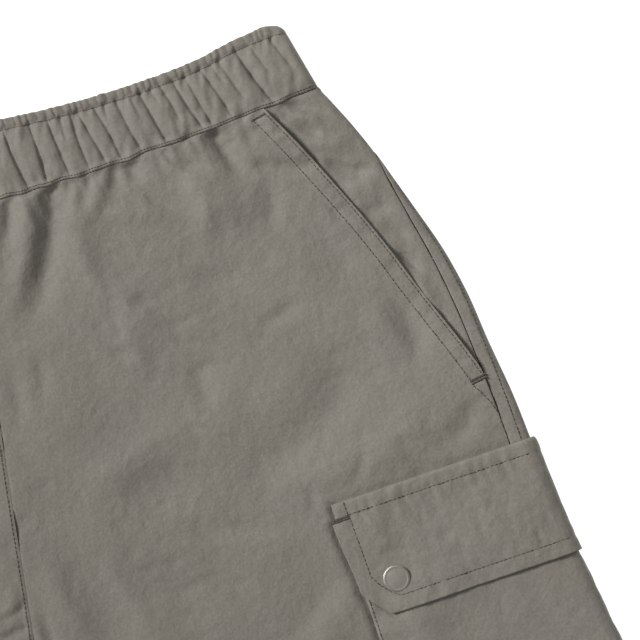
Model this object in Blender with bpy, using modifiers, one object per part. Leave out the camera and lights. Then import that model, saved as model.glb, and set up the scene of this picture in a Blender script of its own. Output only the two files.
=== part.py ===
"""Outdoor trousers, laid flat with the front side up.

+X is the wearer's left, +Y points from the hems to the waist and +Z is up. The origin is under the
middle of the whole outline, on the surface that the trousers lie on.

The garment is one thin hollow form, a rounded envelope of two sheets. It is described by its outline
(edge and inner edge, by distance below the waist seam) and by the height of its two sheets. Every panel
is a wall on a part of that form, and the pockets, flaps and snaps are made from the same points, moved
out. Lengths in the tables are millimetres, and `down` is the distance below the waist seam at the
centre front. What the script hands to Blender is metres.
"""

import math

import bmesh
import bpy
import numpy as np

# ---------------------------------------------------------------------------- driving sizes, mm
CLOTH = 1.2                 # wall of one panel
BAND_WALL = 2.2             # two layers of cloth with elastic between them
SEAM_GAP = 0.3              # between the walls of two pieces that a seam joins
INSEAM_GAP = 0.4            # the same where the walls meet on the rounded inner edge of a leg
SHEET_HEIGHT = 5.6          # from the surface to the top of the upper sheet
WAIST_SWELL = 1.0           # extra height where the gathered band holds the panels up
WAIST_SWELL_REACH = 25.0
EDGE_ROLL = 4.5             # how far in from the outline the cloth turns over, seen from above

CROTCH_DOWN = 266.0
CURL_REACH = 36.0           # length over which the flat rise becomes the rounded inner edge of a leg
HEM_DOWN = 975.0            # at the middle of the leg
HEM_TILT = math.tan(math.radians(14.3))
HEM_TILT_FROM = 330.0
WAIST_CURVE_TO = 150.0      # below this the rows across the body are straight

WAIST_HALF_WIDTH = 204.0
WAIST_RISE = 35.3           # the waist seam is this much higher at the side than at the centre
WAIST_RISE_POWER = 1.4
BAND_TOP_HALF_WIDTH = 189.0
BAND_TOP_CENTRE = 45.0      # top edge above the centre of the waist seam
BAND_TOP_RISE = 28.5
BAND_TOP_POWER = 2.1
BAND_TOP_REFERENCE = 185.0
BAND_TOP_END = 183.0        # the top edge is level from here outwards
SHOULDER_RISE = 2.2         # the top edge swells a little before its corners
SHOULDER_ACROSS = 162.0
SHOULDER_WIDTH = 16.0
BAND_LEAN = 0.05            # how far the gathers lean towards the centre at their tops
BAND_CORNER = 5.0           # the band's upper corners are rounded by this much
FOLDS_PER_HALF = 20         # gathers of the band between the centre front and one side
COLUMNS_PER_FOLD = 4
RUFFLE_NOTCH = 0.7          # scallops of the header's top edge

POCKET_TUCK = 10.0          # the facing under the front panel's edge
OPENING_LIFT = 1.9          # the slant opening stands this much off the facing
OPENING_LIFT_FLAT = 12.0
OPENING_LIFT_END = 36.0
OPENING_END_DOWN = 137.0
FACING_END_DOWN = 133.0

CARGO_CORNER = (174.8, 195.1)   # across, down: upper inner corner of the flap
CARGO_TURN = math.radians(9.8)  # the pocket is square to the side seam
CARGO_WIDTH = 200.0
FLAP_DROP = 68.0
FLAP_CHAMFER = (13.0, 15.6)     # across, down
BODY_FROM = 8.0
BODY_TO = 215.0
BODY_INSET = 1.5
POCKET_GAP = 0.5            # leg to pocket
FLAP_GAP = 0.4              # pocket to flap
SNAP_GAP = 0.3
SNAP_ACROSS = 21.5
SNAP_DOWN = 50.0
SNAP_HEIGHT = 1.5
SNAP_SIDES = 16

# The pocket's rear half lies under the leg, so the back panel runs over it, off the surface.
UNDER_LIFT = POCKET_GAP + CLOTH + FLAP_GAP + CLOTH + SNAP_GAP + SNAP_HEIGHT

QUARTER_ROLL = EDGE_ROLL * math.pi / 2

BODY_ROWS = 22
BODY_ROW_GRADE = 1.2        # rows are closer together towards the waist
LEG_ROWS = 15
FRONT_COLUMNS = 17

MM = 0.001

# ---------------------------------------------------------------------------- tables
# Outline of one half: outermost point, and how far inside it the side seam shows. A negative inset is
# a seam that is rolled to the underside.
SIDE = np.array(
    [  # down, edge, seam inset
        (-36.0, 203.5, -2.0),
        (-20.0, 214.5, -1.2),
        (7.0, 230.5, 0.2),
        (21.0, 237.5, 2.6),
        (40.0, 247.0, 5.0),
        (65.0, 259.0, 7.6),
        (90.0, 268.0, 9.0),
        (118.0, 275.3, 9.3),
        (150.0, 284.2, 11.0),
        (176.0, 290.0, 11.7),
        (205.0, 296.0, 12.0),
        (240.0, 304.5, 12.0),
        (270.0, 313.5, 12.0),
        (295.0, 321.0, 12.0),
        (360.0, 337.0, 12.0),
        (500.0, 364.0, 11.0),
        (750.0, 405.0, 10.0),
        (1010.0, 444.0, 9.0),
    ]
)

# Inner edge of a leg.
INNER = np.array(
    [  # down, inner edge
        (CROTCH_DOWN, 0.15),
        (278.0, 3.2),
        (300.0, 11.5),
        (360.0, 33.0),
        (500.0, 80.0),
        (750.0, 162.0),
        (1010.0, 245.0),
    ]
)

# Edge of the front panel along the slant pocket.
OPENING = np.array(
    [  # down, across
        (-36.0, 166.8),
        (-28.0, 172.5),
        (-7.4, 187.2),
        (11.3, 199.6),
        (35.8, 215.2),
        (58.8, 228.7),
        (78.8, 239.3),
        (103.6, 253.0),
        (115.9, 259.8),
        (OPENING_END_DOWN, 271.0),
    ]
)

# Largest soft folds of the upper sheet, each along a straight line.
FOLDS = np.array(
    [  # across, down, to across, to down, half width, height
        (44.0, -6.0, 10.0, 72.0, 8.5, -2.2),
        (31.0, -4.0, 8.0, 56.0, 8.0, 1.4),
        (57.0, -6.0, 20.0, 80.0, 11.0, 1.6),
        (13.0, 0.0, -12.0, 62.0, 9.0, 0.9),
        (64.0, 14.0, 96.0, 88.0, 14.0, -1.2),
        (120.0, 12.0, 158.0, 40.0, 13.0, -1.2),
        (222.0, 70.0, 229.0, 128.0, 12.0, -1.4),
        (30.0, 160.0, 102.0, 124.0, 16.0, 1.4),
        (48.0, 174.0, 186.0, 122.0, 14.0, -1.4),
        (126.0, 186.0, 238.0, 142.0, 14.0, 1.6),
        (20.0, 186.0, 52.0, 258.0, 10.0, -1.8),
        (124.0, 268.0, 176.0, 226.0, 13.0, 1.1),
        (-50.0, -6.0, -22.0, 66.0, 9.0, -2.1),
        (-37.0, -4.0, -16.0, 48.0, 8.0, 1.3),
        (-65.0, -8.0, -34.0, 84.0, 12.0, 1.7),
        (-92.0, 6.0, -120.0, 78.0, 14.0, -1.2),
        (-146.0, 4.0, -158.0, 52.0, 13.0, -1.1),
        (-218.0, 62.0, -230.0, 120.0, 12.0, -1.3),
        (-24.0, 150.0, -112.0, 110.0, 17.0, 1.3),
        (-40.0, 190.0, -178.0, 134.0, 14.0, -1.4),
        (-110.0, 192.0, -240.0, 150.0, 14.0, 1.5),
        (-24.0, 198.0, -64.0, 262.0, 10.0, -1.7),
        (60.0, 292.0, 178.0, 330.0, 22.0, 1.2),
        (-56.0, 300.0, -170.0, 352.0, 22.0, 1.3),
        (100.0, 352.0, 214.0, 402.0, 20.0, -1.2),
        (-90.0, 366.0, -220.0, 398.0, 20.0, -1.2),
        (150.0, 470.0, 250.0, 505.0, 24.0, 1.4),
        (-140.0, 452.0, -262.0, 500.0, 24.0, 1.3),
        (185.0, 590.0, 330.0, 560.0, 26.0, 1.6),
        (-180.0, 575.0, -330.0, 598.0, 26.0, 1.6),
        (240.0, 690.0, 330.0, 655.0, 24.0, 1.3),
        (-225.0, 668.0, -340.0, 700.0, 24.0, 1.4),
        (250.0, 800.0, 385.0, 838.0, 26.0, 1.4),
        (-245.0, 820.0, -380.0, 790.0, 26.0, 1.4),
        (270.0, 900.0, 400.0, 880.0, 24.0, 1.5),
        (-262.0, 888.0, -405.0, 915.0, 24.0, 1.4),
    ]
)

# Cross-sections of the waistband, from the seam up.
BAND_ROWS = np.array(
    [  # up (share of the band), height, gather depth, ruffle depth
        (0.00, 6.6, 0.5, 0.0),
        (0.22, 8.0, 1.2, 0.0),
        (0.62, 8.2, 1.2, 0.0),
        (0.86, 6.4, 0.3, 0.0),
        (1.00, 7.4, 0.3, 0.8),
    ]
)

# Half section of a snap cap: a rolled rim round a shallow dish.
CAP_PROFILE = [  # radius, height
    (0.0, 1.1),
    (4.9, 1.15),
    (5.9, 1.5),
    (6.9, 1.35),
    (7.4, 0.7),
    (7.2, 0.0),
    (0.0, 0.0),
]

COLOURS = {  # linear red, green, blue, roughness, metallic
    "cloth": (0.205, 0.190, 0.165, 0.72, 0.0),
    "band": (0.195, 0.180, 0.157, 0.74, 0.0),
    "pewter": (0.38, 0.36, 0.32, 0.42, 1.0),
}


# ---------------------------------------------------------------------------- curves and outline
def smooth_curve(knots, values):
    """A smooth function through a table's rows, with straight ends beyond the first and last."""
    slopes = np.gradient(values, knots)

    def curve(at):
        at = np.asarray(at, float)
        inside = np.clip(at, knots[0], knots[-1])
        cell = np.clip(np.searchsorted(knots, inside, side="right") - 1, 0, len(knots) - 2)
        width = knots[cell + 1] - knots[cell]
        part = (inside - knots[cell]) / width
        rise = values[cell] * (1 + 2 * part) * (1 - part) ** 2
        rise += values[cell + 1] * part**2 * (3 - 2 * part)
        rise += slopes[cell] * width * part * (1 - part) ** 2
        rise -= slopes[cell + 1] * width * part**2 * (1 - part)
        beyond = np.where(at < knots[0], slopes[0], slopes[-1]) * (at - inside)
        return rise + beyond

    return curve


def smooth_step(value, low, high):
    """0 below low, 1 above high, and smooth between them. Low may be the larger one."""
    part = np.clip((value - low) / (high - low), 0.0, 1.0)
    return part * part * (3 - 2 * part)


edge_at = smooth_curve(SIDE[:, 0], SIDE[:, 1])
seam_inset_at = smooth_curve(SIDE[:, 0], SIDE[:, 2])
opening_at = smooth_curve(OPENING[:, 0], OPENING[:, 1])
inner_table = smooth_curve(INNER[:, 0], INNER[:, 1])


def inner_at(down):
    """Inner boundary of one half: the centre seam above the crotch, the inseam below it."""
    return np.where(down < CROTCH_DOWN, SEAM_GAP / 2, np.maximum(inner_table(down), SEAM_GAP / 2))


def lean_cosine(curve, down):
    """Cosine of an edge's lean, which turns a distance across into one square to the edge."""
    slope = curve(down + 0.5) - curve(down - 0.5)
    return 1 / np.sqrt(1 + slope**2)


def roll_depth(turn):
    """How far inside the outline a point lies that is `turn` of arc round the edge from it."""
    turn = np.abs(turn)
    rolled = EDGE_ROLL * (1 - np.cos(np.minimum(turn, QUARTER_ROLL) / EDGE_ROLL))
    return rolled + np.maximum(turn - QUARTER_ROLL, 0)


def roll_turn(depth):
    """The arc from the outline to a point that lies `depth` inside it, with depth's sign."""
    size = np.abs(depth)
    rolled = EDGE_ROLL * np.arccos(np.clip(1 - size / EDGE_ROLL, 0, 1))
    return np.sign(depth) * (rolled + np.maximum(size - EDGE_ROLL, 0))


def waist_rise(across):
    return WAIST_RISE * (np.abs(across) / WAIST_HALF_WIDTH) ** WAIST_RISE_POWER


# ---------------------------------------------------------------------------- height of the sheets
def fold_height(across, down):
    """Sum of the folds: each is a bell across its line and fades towards its two ends."""
    total = np.zeros(np.broadcast(across, down).shape)
    for x0, d0, x1, d1, half_width, height in FOLDS:
        run = math.hypot(x1 - x0, d1 - d0)
        along = ((across - x0) * (x1 - x0) + (down - d0) * (d1 - d0)) / run**2
        aside = ((across - x0) * (d1 - d0) - (down - d0) * (x1 - x0)) / run
        ends = smooth_step(along, -0.2, 0.25) * smooth_step(along, 1.2, 0.75)
        total += height * np.exp(-((aside / half_width) ** 2)) * ends
    return total


def sheets(across, down):
    """Heights of the upper and the lower sheet, away from the rolled edges."""
    inside = edge_at(down) - np.abs(across)
    calm = smooth_step(inside, 190, 60) * smooth_step(down, 60, 165) * smooth_step(down, 560, 430)
    under = smooth_step(inside, 126, 92) * smooth_step(down, 118, 155) * smooth_step(down, 490, 445)
    below_seam = down + waist_rise(across)
    swell = WAIST_SWELL * np.exp(-((below_seam / WAIST_SWELL_REACH) ** 2))
    near_seam = smooth_step(below_seam, 0, 14)
    near_hem = smooth_step(down, HEM_DOWN + 40, HEM_DOWN - 60)
    near_edge = smooth_step(inside, 4, 45)
    folds = fold_height(across, down) * near_seam * near_edge * (0.4 + 0.6 * near_hem)
    upper = SHEET_HEIGHT + swell + UNDER_LIFT * calm + folds
    lower = UNDER_LIFT * under
    return upper, lower


def envelope(across, down):
    """Middle height and half height of the form, and the squared share its edges take from it."""
    size = np.abs(across)
    upper, lower = sheets(across, down)
    outer = np.maximum(1 - (edge_at(down) - size) * lean_cosine(edge_at, down) / EDGE_ROLL, 0)
    inner = np.maximum(1 - (size - inner_at(down)) * lean_cosine(inner_at, down) / EDGE_ROLL, 0)
    curl = smooth_step(down, CROTCH_DOWN - CURL_REACH, CROTCH_DOWN)
    return (upper + lower) / 2, (upper - lower) / 2, outer**2 + curl * inner**2


def form_point(across, down, layer):
    """Point of the form's surface over (across, down): layer is +1 for the upper sheet, -1 for the lower."""
    middle, half, taken = envelope(across, down)
    height = middle + layer * half * np.sqrt(np.clip(1 - taken, 0, 1))
    return np.stack(np.broadcast_arrays(across, down, height), axis=-1)


def form_normal(points):
    """Outward normal of the form, from the slope of its implicit equation in each direction."""

    def value(across, down, height):
        middle, half, taken = envelope(across, down)
        return ((height - middle) / half) ** 2 + taken

    step = 0.02
    across, down, height = points[..., 0], points[..., 1], points[..., 2]
    slopes = np.stack(
        [
            value(across + step, down, height) - value(across - step, down, height),
            value(across, down + step, height) - value(across, down - step, height),
            value(across, down, height + step) - value(across, down, height - step),
        ],
        axis=-1,
    )
    return slopes / np.linalg.norm(slopes, axis=-1, keepdims=True)


# ---------------------------------------------------------------------------- rows and columns
def row_down(level, across):
    """Where a row lies: parallel to the waist seam at the top, square to the leg at the hem."""
    along_waist = smooth_step(level, WAIST_CURVE_TO, 0)
    along_hem = smooth_step(level, HEM_TILT_FROM, HEM_DOWN)
    middle = (edge_at(level) + inner_at(level)) / 2
    return level - along_waist * waist_rise(across) - along_hem * HEM_TILT * (np.abs(across) - middle)


def settle(levels, column_across):
    """Grid where each row's height and each column's place across agree with one another."""
    levels = levels[:, None]
    down = np.broadcast_to(levels, column_across(levels).shape)
    for _ in range(12):
        across = column_across(down)
        down = row_down(levels, across)
    return column_across(down), down


def panel_levels():
    body = CROTCH_DOWN * np.linspace(0, 1, BODY_ROWS + 1) ** BODY_ROW_GRADE
    leg = np.linspace(CROTCH_DOWN, HEM_DOWN, LEG_ROWS + 1)[1:]
    levels = np.concatenate([body, leg])
    levels[0] = SEAM_GAP / 2
    return levels


def inner_curl_depths():
    """Distances from the inner edge at which the rounded part of the wall has a column."""
    start = INSEAM_GAP / SHEET_HEIGHT
    turns = np.array([start, math.radians(30), math.radians(60), math.radians(90)])
    return EDGE_ROLL * (1 - np.cos(turns))


# ---------------------------------------------------------------------------- panels
def front_grid(side):
    """Front panel: from the centre seam and inseam to the slant pocket and the side seam."""
    curl = inner_curl_depths()
    shares = np.linspace(0, 1, FRONT_COLUMNS + 1)[1:]
    near_opening = np.array([OPENING_LIFT_FLAT, 0.0])
    rolled = len(curl)
    count = rolled + len(shares) + len(near_opening)

    def columns(down):
        down = np.broadcast_to(down, (down.shape[0], count))
        seam = edge_at(down) - seam_inset_at(down) / lean_cosine(edge_at, down) - SEAM_GAP / 2
        outer = np.where(down > OPENING_END_DOWN, seam, np.minimum(opening_at(down), seam))
        inner = inner_at(down)
        across = np.empty_like(down)
        across[:, :rolled] = inner[:, :rolled] + curl
        start = inner[:, rolled:-2] + EDGE_ROLL
        stop = outer[:, rolled:-2] - OPENING_LIFT_END
        across[:, rolled:-2] = start + (stop - start) * shares
        across[:, -2:] = outer[:, -2:] - near_opening
        return across

    across, down = settle(panel_levels(), columns)
    return form_point(side * across, down, 1)


def opening_lift(points):
    """How far the front panel stands off the form near the slant opening."""
    across, down = np.abs(points[..., 0]), points[..., 1]
    inside = opening_at(np.minimum(down, OPENING_END_DOWN)) - across
    near = smooth_step(inside, OPENING_LIFT_END, OPENING_LIFT_FLAT)
    return OPENING_LIFT * near * smooth_step(down, OPENING_END_DOWN + 38, OPENING_END_DOWN + 2)


def rolled_columns(down, turns):
    """Places across and layers of points that lie `turns` of arc round the outer edge."""
    depth = roll_depth(turns) / lean_cosine(edge_at, down)
    return edge_at(down) - depth, np.where(turns >= 0, 1.0, -1.0)


def back_grid(side):
    """Back panel: from the side seam on the front, round the outer edge, to the centre seam."""
    roll_shares = np.array([0, 0.25, 0.45, 0.62, 0.8, 1.0])
    flat_depths = np.array([46.0, 92.0, 128.0])
    inner_shares = np.linspace(0, 1, 4)[1:]
    curl = inner_curl_depths()[::-1][1:]
    roll = len(roll_shares)
    flat = roll + len(flat_depths)
    inner = flat + len(inner_shares)
    count = inner + len(curl)

    def turns_at(down):
        seam = roll_turn(seam_inset_at(down)) - SEAM_GAP / 2
        return seam + (-QUARTER_ROLL - seam) * roll_shares

    def columns(down):
        down = np.broadcast_to(down, (down.shape[0], count))
        across = np.empty_like(down)
        across[:, :roll] = rolled_columns(down[:, :roll], turns_at(down[:, :roll]))[0]
        across[:, roll:flat] = edge_at(down[:, roll:flat]) - flat_depths
        start = edge_at(down[:, flat:inner]) - flat_depths[-1]
        stop = inner_at(down[:, flat:inner]) + EDGE_ROLL
        across[:, flat:inner] = start + (stop - start) * inner_shares
        across[:, inner:] = inner_at(down[:, inner:]) + curl
        return across

    across, down = settle(panel_levels(), columns)
    layer = -np.ones_like(across)
    layer[:, :roll] = rolled_columns(down[:, :roll], turns_at(down[:, :roll]))[1]
    return form_point(side * across, down, layer)


def facing_grid(side):
    """Hip facing: from under the front panel's slant edge to the side seam."""
    shares = np.array([0, 0.07, 0.14, 0.24, 0.5, 0.75, 1.0])

    def turns_at(down):
        seam = roll_turn(seam_inset_at(down)) + SEAM_GAP / 2
        tuck = (edge_at(down) - opening_at(down)) * lean_cosine(edge_at, down) + POCKET_TUCK
        return seam + (roll_turn(tuck) - seam) * shares

    def columns(down):
        down = np.broadcast_to(down, (down.shape[0], len(shares)))
        return rolled_columns(down, turns_at(down))[0]

    rows = panel_levels()
    levels = np.append(rows[rows < FACING_END_DOWN - 4], FACING_END_DOWN)
    across, down = settle(levels, columns)
    layer = rolled_columns(down, turns_at(down))[1]
    return form_point(side * across, down, layer)[:, ::-1]


# ---------------------------------------------------------------------------- cargo pocket and flap
def wrapped_point(across, down, side):
    """Point of a flat sheet that is laid on the leg and folded round its outer edge."""
    cosine = lean_cosine(edge_at, down)
    sine = np.sqrt(1 - cosine**2)
    from_edge = (edge_at(down) - across) * cosine
    foot_across = across + from_edge * cosine
    foot_down = down - from_edge * sine
    turn = from_edge + QUARTER_ROLL - EDGE_ROLL
    depth = roll_depth(turn)
    layer = np.where(turn >= 0, 1.0, -1.0)
    return form_point(side * (foot_across - depth * cosine), foot_down + depth * sine, layer)


def pocket_place(across, down):
    """From the pocket's own sheet, measured from the flap's upper inner corner, to the garment's."""
    cosine, sine = math.cos(CARGO_TURN), math.sin(CARGO_TURN)
    return (
        CARGO_CORNER[0] + across * cosine + down * sine,
        CARGO_CORNER[1] - across * sine + down * cosine,
    )


def edge_crossing(down):
    """Where a row of the pocket's sheet crosses the leg's outer edge."""
    across = np.full_like(down, 120.0)
    for _ in range(12):
        x, d = pocket_place(across, down)
        across = across + (edge_at(d) - x) * lean_cosine(edge_at, d)
    return across


def pocket_grid(side, downs, left, right):
    """Sheet of the pocket from the columns' left to right limits at each row."""
    crossing = edge_crossing(downs)[:, None] + QUARTER_ROLL - EDGE_ROLL
    front_shares = np.linspace(0, 1, 7)
    arc = np.array([-0.6, -0.2, 0.2, 0.6]) * QUARTER_ROLL
    back_shares = np.linspace(0, 1, 5)
    left, right = left[:, None], right[:, None]
    front = left + (crossing - QUARTER_ROLL - left) * front_shares
    rolled = crossing + arc
    back = crossing + QUARTER_ROLL + (right - crossing - QUARTER_ROLL) * back_shares
    across = np.hstack([front, rolled, back])
    x, d = pocket_place(across, np.broadcast_to(downs[:, None], across.shape))
    return wrapped_point(x, d, side)


def cargo_body_grid(side):
    downs = np.linspace(BODY_FROM, BODY_TO, 8)
    left = np.full_like(downs, BODY_INSET)
    return pocket_grid(side, downs, left, CARGO_WIDTH - left)


def cargo_flap_grid(side):
    across_cut, down_cut = FLAP_CHAMFER
    straight = FLAP_DROP - down_cut
    downs = np.array([0, straight * 0.5, straight, FLAP_DROP - down_cut / 2, FLAP_DROP])
    left = across_cut * np.clip((downs - straight) / down_cut, 0, 1)
    return pocket_grid(side, downs, left, CARGO_WIDTH - left)


# ---------------------------------------------------------------------------- waistband
def band_top(across):
    """Height of the band's top edge above the centre of the waist seam."""
    size = np.minimum(np.abs(across), BAND_TOP_END)
    shoulder = SHOULDER_RISE * np.exp(-(((size - SHOULDER_ACROSS) / SHOULDER_WIDTH) ** 2))
    return BAND_TOP_CENTRE + BAND_TOP_RISE * (size / BAND_TOP_REFERENCE) ** BAND_TOP_POWER + shoulder


def band_stations():
    """Places round the ring: share across, angle of the section and phase of the gathers."""
    columns = FOLDS_PER_HALF * COLUMNS_PER_FOLD
    front = np.linspace(-1, 1, 2 * columns + 1)
    arc = np.radians(np.array([60, 30, 0, -30, -60]))
    back = np.linspace(1, -1, 21)
    share = np.concatenate([front, np.ones(5), back, -np.ones(5)])
    angle = np.concatenate(
        [np.full(len(front), math.pi / 2), arc, np.full(len(back), -math.pi / 2), -math.pi - arc[::-1]]
    )
    phase = np.full(len(share), -1)
    phase[: len(front)] = np.arange(len(front))
    return share, angle, phase


def gather_profile(phase):
    """Height of the gathers, 0 in the creases and up to 1 on the puffs, uneven from one to the next."""
    fold = phase // COLUMNS_PER_FOLD
    within = phase % COLUMNS_PER_FOLD
    puff = np.array([0.0, 0.8, 1.0, 0.7])[within]
    return np.where(phase >= 0, puff * (0.8 + 0.2 * np.sin(fold * 2.4)), 0.0)


def ruffle_profile(phase):
    """The header's waves are half as long as the gathers: a crest and a dip in turn."""
    return np.where(phase >= 0, np.where(phase % 2 == 0, -1.0, 1.0), 0.0)


def band_rings():
    """Outer and inner rings of the waistband, one row for each section."""
    share, angle, phase = band_stations()
    gathers, ruffle = gather_profile(phase), ruffle_profile(phase)
    outer, inner = [], []
    for up, height, depth, wave in BAND_ROWS:
        rings = []
        for inset in (0.0, BAND_WALL):
            rolled = EDGE_ROLL * np.cos(angle)
            low = share * (WAIST_HALF_WIDTH - EDGE_ROLL) + rolled
            top_share = share - BAND_LEAN * np.sin(math.pi * share)
            high = top_share * (BAND_TOP_HALF_WIDTH - EDGE_ROLL) + rolled
            low_y = waist_rise(low)
            high_y = band_top(high)
            across = low + (high - low) * up - inset * np.cos(angle)
            corner = BAND_CORNER * smooth_step(up, 0.86, 1.0) * smooth_step(np.abs(share), 0.9, 1.0)
            across = across - np.sign(share) * corner
            upward = low_y + (high_y - low_y) * up + SEAM_GAP / 2 * (1 - up)
            upward = upward + np.where(up == 1.0, RUFFLE_NOTCH * ruffle, 0.0)
            middle = height / 2
            z = middle + (middle - inset) * np.sin(angle)
            z = z + depth * gathers + wave * ruffle
            rings.append(np.stack([across, -upward, z], axis=-1))
        outer.append(rings[0])
        inner.append(rings[1])
    return np.array(outer), np.array(inner)


# ---------------------------------------------------------------------------- meshes
def collection_named(name):
    collection = bpy.data.collections.new(name)
    bpy.context.scene.collection.children.link(collection)
    return collection


def material_named(name):
    red, green, blue, roughness, metallic = COLOURS[name]
    material = bpy.data.materials.new(name)
    material.use_nodes = True
    shader = material.node_tree.nodes["Principled BSDF"]
    shader.inputs["Base Color"].default_value = (red, green, blue, 1)
    shader.inputs["Roughness"].default_value = roughness
    shader.inputs["Metallic"].default_value = metallic
    return material


def to_world(points):
    """From across, down and height in millimetres to metres in the garment's frame."""
    hem_low = row_down(np.array(HEM_DOWN), inner_at(np.array(HEM_DOWN)))
    band_high = band_top(BAND_TOP_HALF_WIDTH)
    waist_y = (hem_low - band_high) / 2
    scaled = np.array(points, float)
    scaled[..., 1] = waist_y - scaled[..., 1]
    return scaled * MM


def add_object(name, mesh, material, collection):
    mesh.materials.append(material)
    mesh.shade_smooth()
    mesh.set_sharp_from_angle(angle=math.radians(50))
    item = bpy.data.objects.new(name, mesh)
    collection.objects.link(item)
    return item


def wall_mesh(name, outer, inner, ring=False):
    """Closed wall between two grids of points. A ring's last column joins its first."""
    rows, columns = outer.shape[:2]
    vertices = np.concatenate([to_world(outer).reshape(-1, 3), to_world(inner).reshape(-1, 3)])
    index = np.arange(rows * columns).reshape(rows, columns)
    if ring:
        index = np.hstack([index, index[:, :1]])
    below = index + rows * columns

    def strip(first, second):
        return np.stack([first[:-1], first[1:], second[1:], second[:-1]], axis=-1)

    faces = [strip(index[row], index[row + 1]) for row in range(rows - 1)]
    faces += [strip(below[row + 1], below[row]) for row in range(rows - 1)]
    faces += [strip(below[0], index[0]), strip(index[-1], below[-1])]
    if not ring:
        faces += [strip(index[:, 0], below[:, 0]), strip(below[:, -1], index[:, -1])]
    mesh = bpy.data.meshes.new(name)
    mesh.from_pydata(vertices.tolist(), [], np.concatenate(faces).tolist())
    tidy = bmesh.new()
    tidy.from_mesh(mesh)
    bmesh.ops.recalc_face_normals(tidy, faces=tidy.faces)
    bmesh.ops.triangulate(tidy, faces=tidy.faces)
    tidy.to_mesh(mesh)
    tidy.free()
    return mesh


def cloth_wall(name, points, low, high):
    """Wall on the form: its two faces are the form's points moved out by low and by high."""
    normals = form_normal(points)
    low = np.broadcast_to(low, points.shape[:2])[..., None]
    high = np.broadcast_to(high, points.shape[:2])[..., None]
    return wall_mesh(name, points + high * normals, points + low * normals)


def snap_cap(name, side, across, material, collection):
    """Turned cap, set on the flap and facing the way the flap does there."""
    x, d = pocket_place(np.array([across]), np.array([SNAP_DOWN]))
    point = wrapped_point(x, d, side)
    normal = form_normal(point)
    stand_off = POCKET_GAP + CLOTH + FLAP_GAP + CLOTH + SNAP_GAP
    place = to_world(point + stand_off * normal)[0]
    profile = bpy.data.meshes.new(name)
    points = [(radius * MM, 0.0, height * MM) for radius, height in CAP_PROFILE]
    profile.from_pydata(points, [(i, i + 1) for i in range(len(points) - 1)], [])
    cap = bpy.data.objects.new(name, profile)
    collection.objects.link(cap)
    cap.location = place
    if normal[0, 2] < 0:
        cap.rotation_euler = (math.pi, 0, 0)
    profile.materials.append(material)
    screw = cap.modifiers.new("turned", "SCREW")
    screw.steps = SNAP_SIDES
    screw.render_steps = SNAP_SIDES
    screw.use_merge_vertices = True
    screw.merge_threshold = 0.00005
    return cap


# ---------------------------------------------------------------------------- the garment
def build_side(label, side, cloth, pewter, garment):
    """All the pieces of one half, apart from the waistband."""
    front = front_grid(side)
    lift = opening_lift(front)
    add_object(f"front_{label}", cloth_wall(f"front_{label}", front, lift - CLOTH, lift), cloth, garment)
    back = back_grid(side)
    add_object(f"back_{label}", cloth_wall(f"back_{label}", back, -CLOTH, 0.0), cloth, garment)
    facing = facing_grid(side)
    name = f"hip_facing_{label}"
    add_object(name, cloth_wall(name, facing, -CLOTH, 0.0), cloth, garment)
    body_low = POCKET_GAP
    flap_low = body_low + CLOTH + FLAP_GAP
    name = f"cargo_pocket_{label}"
    add_object(
        name, cloth_wall(name, cargo_body_grid(side), body_low, body_low + CLOTH), cloth, garment
    )
    name = f"pocket_flap_{label}"
    add_object(
        name, cloth_wall(name, cargo_flap_grid(side), flap_low, flap_low + CLOTH), cloth, garment
    )
    snap_cap(f"snap_front_{label}", side, SNAP_ACROSS, pewter, garment)
    snap_cap(f"snap_back_{label}", side, CARGO_WIDTH - SNAP_ACROSS, pewter, garment)


def main():
    for item in list(bpy.data.objects):
        bpy.data.objects.remove(item, do_unlink=True)
    garment = collection_named("outdoor_trousers")
    cloth = material_named("cloth")
    band = material_named("band")
    pewter = material_named("pewter")
    outer, inner = band_rings()
    add_object("waistband", wall_mesh("waistband", outer, inner, ring=True), band, garment)
    build_side("left", 1, cloth, pewter, garment)
    build_side("right", -1, cloth, pewter, garment)


main()
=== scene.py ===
"""Outdoor trousers laid flat with the front side up: cloth, sewing, metal caps, studio and camera.

The garment is described in its own millimetres: `across` from the centre line outwards, `down` from the
waist seam at the centre front, and height above the surface that it lies on. GarmentForm turns these
into points of a thin hollow envelope of two sheets, and every piece of cloth is a layer on that form.
"""

import logging
import math
from collections.abc import Callable, Sequence
from dataclasses import dataclass, field
from enum import Enum

import bpy
import numpy as np
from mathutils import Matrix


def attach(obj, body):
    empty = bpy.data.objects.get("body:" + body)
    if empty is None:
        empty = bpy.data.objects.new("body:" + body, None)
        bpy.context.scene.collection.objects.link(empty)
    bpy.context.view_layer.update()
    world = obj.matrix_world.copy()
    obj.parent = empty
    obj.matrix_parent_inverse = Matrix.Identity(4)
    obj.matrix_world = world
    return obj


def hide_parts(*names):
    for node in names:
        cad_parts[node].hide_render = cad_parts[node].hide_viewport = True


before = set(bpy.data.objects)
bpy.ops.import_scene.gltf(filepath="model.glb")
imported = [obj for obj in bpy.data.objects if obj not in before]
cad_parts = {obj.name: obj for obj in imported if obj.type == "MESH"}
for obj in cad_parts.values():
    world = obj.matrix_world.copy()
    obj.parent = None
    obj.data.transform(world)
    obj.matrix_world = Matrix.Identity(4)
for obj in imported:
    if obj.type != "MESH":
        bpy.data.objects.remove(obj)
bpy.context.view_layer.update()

logging.basicConfig(level=logging.INFO, format="%(message)s")
log = logging.getLogger("trousers")

Array = np.ndarray
Grid = tuple[Array, Array]
Surface = Callable[[Array, Array], Grid]

MM = 0.001
BODY = "root"


# ---- plain helpers
class Side(Enum):
    """The wearer's left and right half. The value is the sign of world x."""

    LEFT = 1
    RIGHT = -1

    @property
    def label(self) -> str:
        """The word that the half's pieces end in."""
        return self.name.lower()


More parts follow.
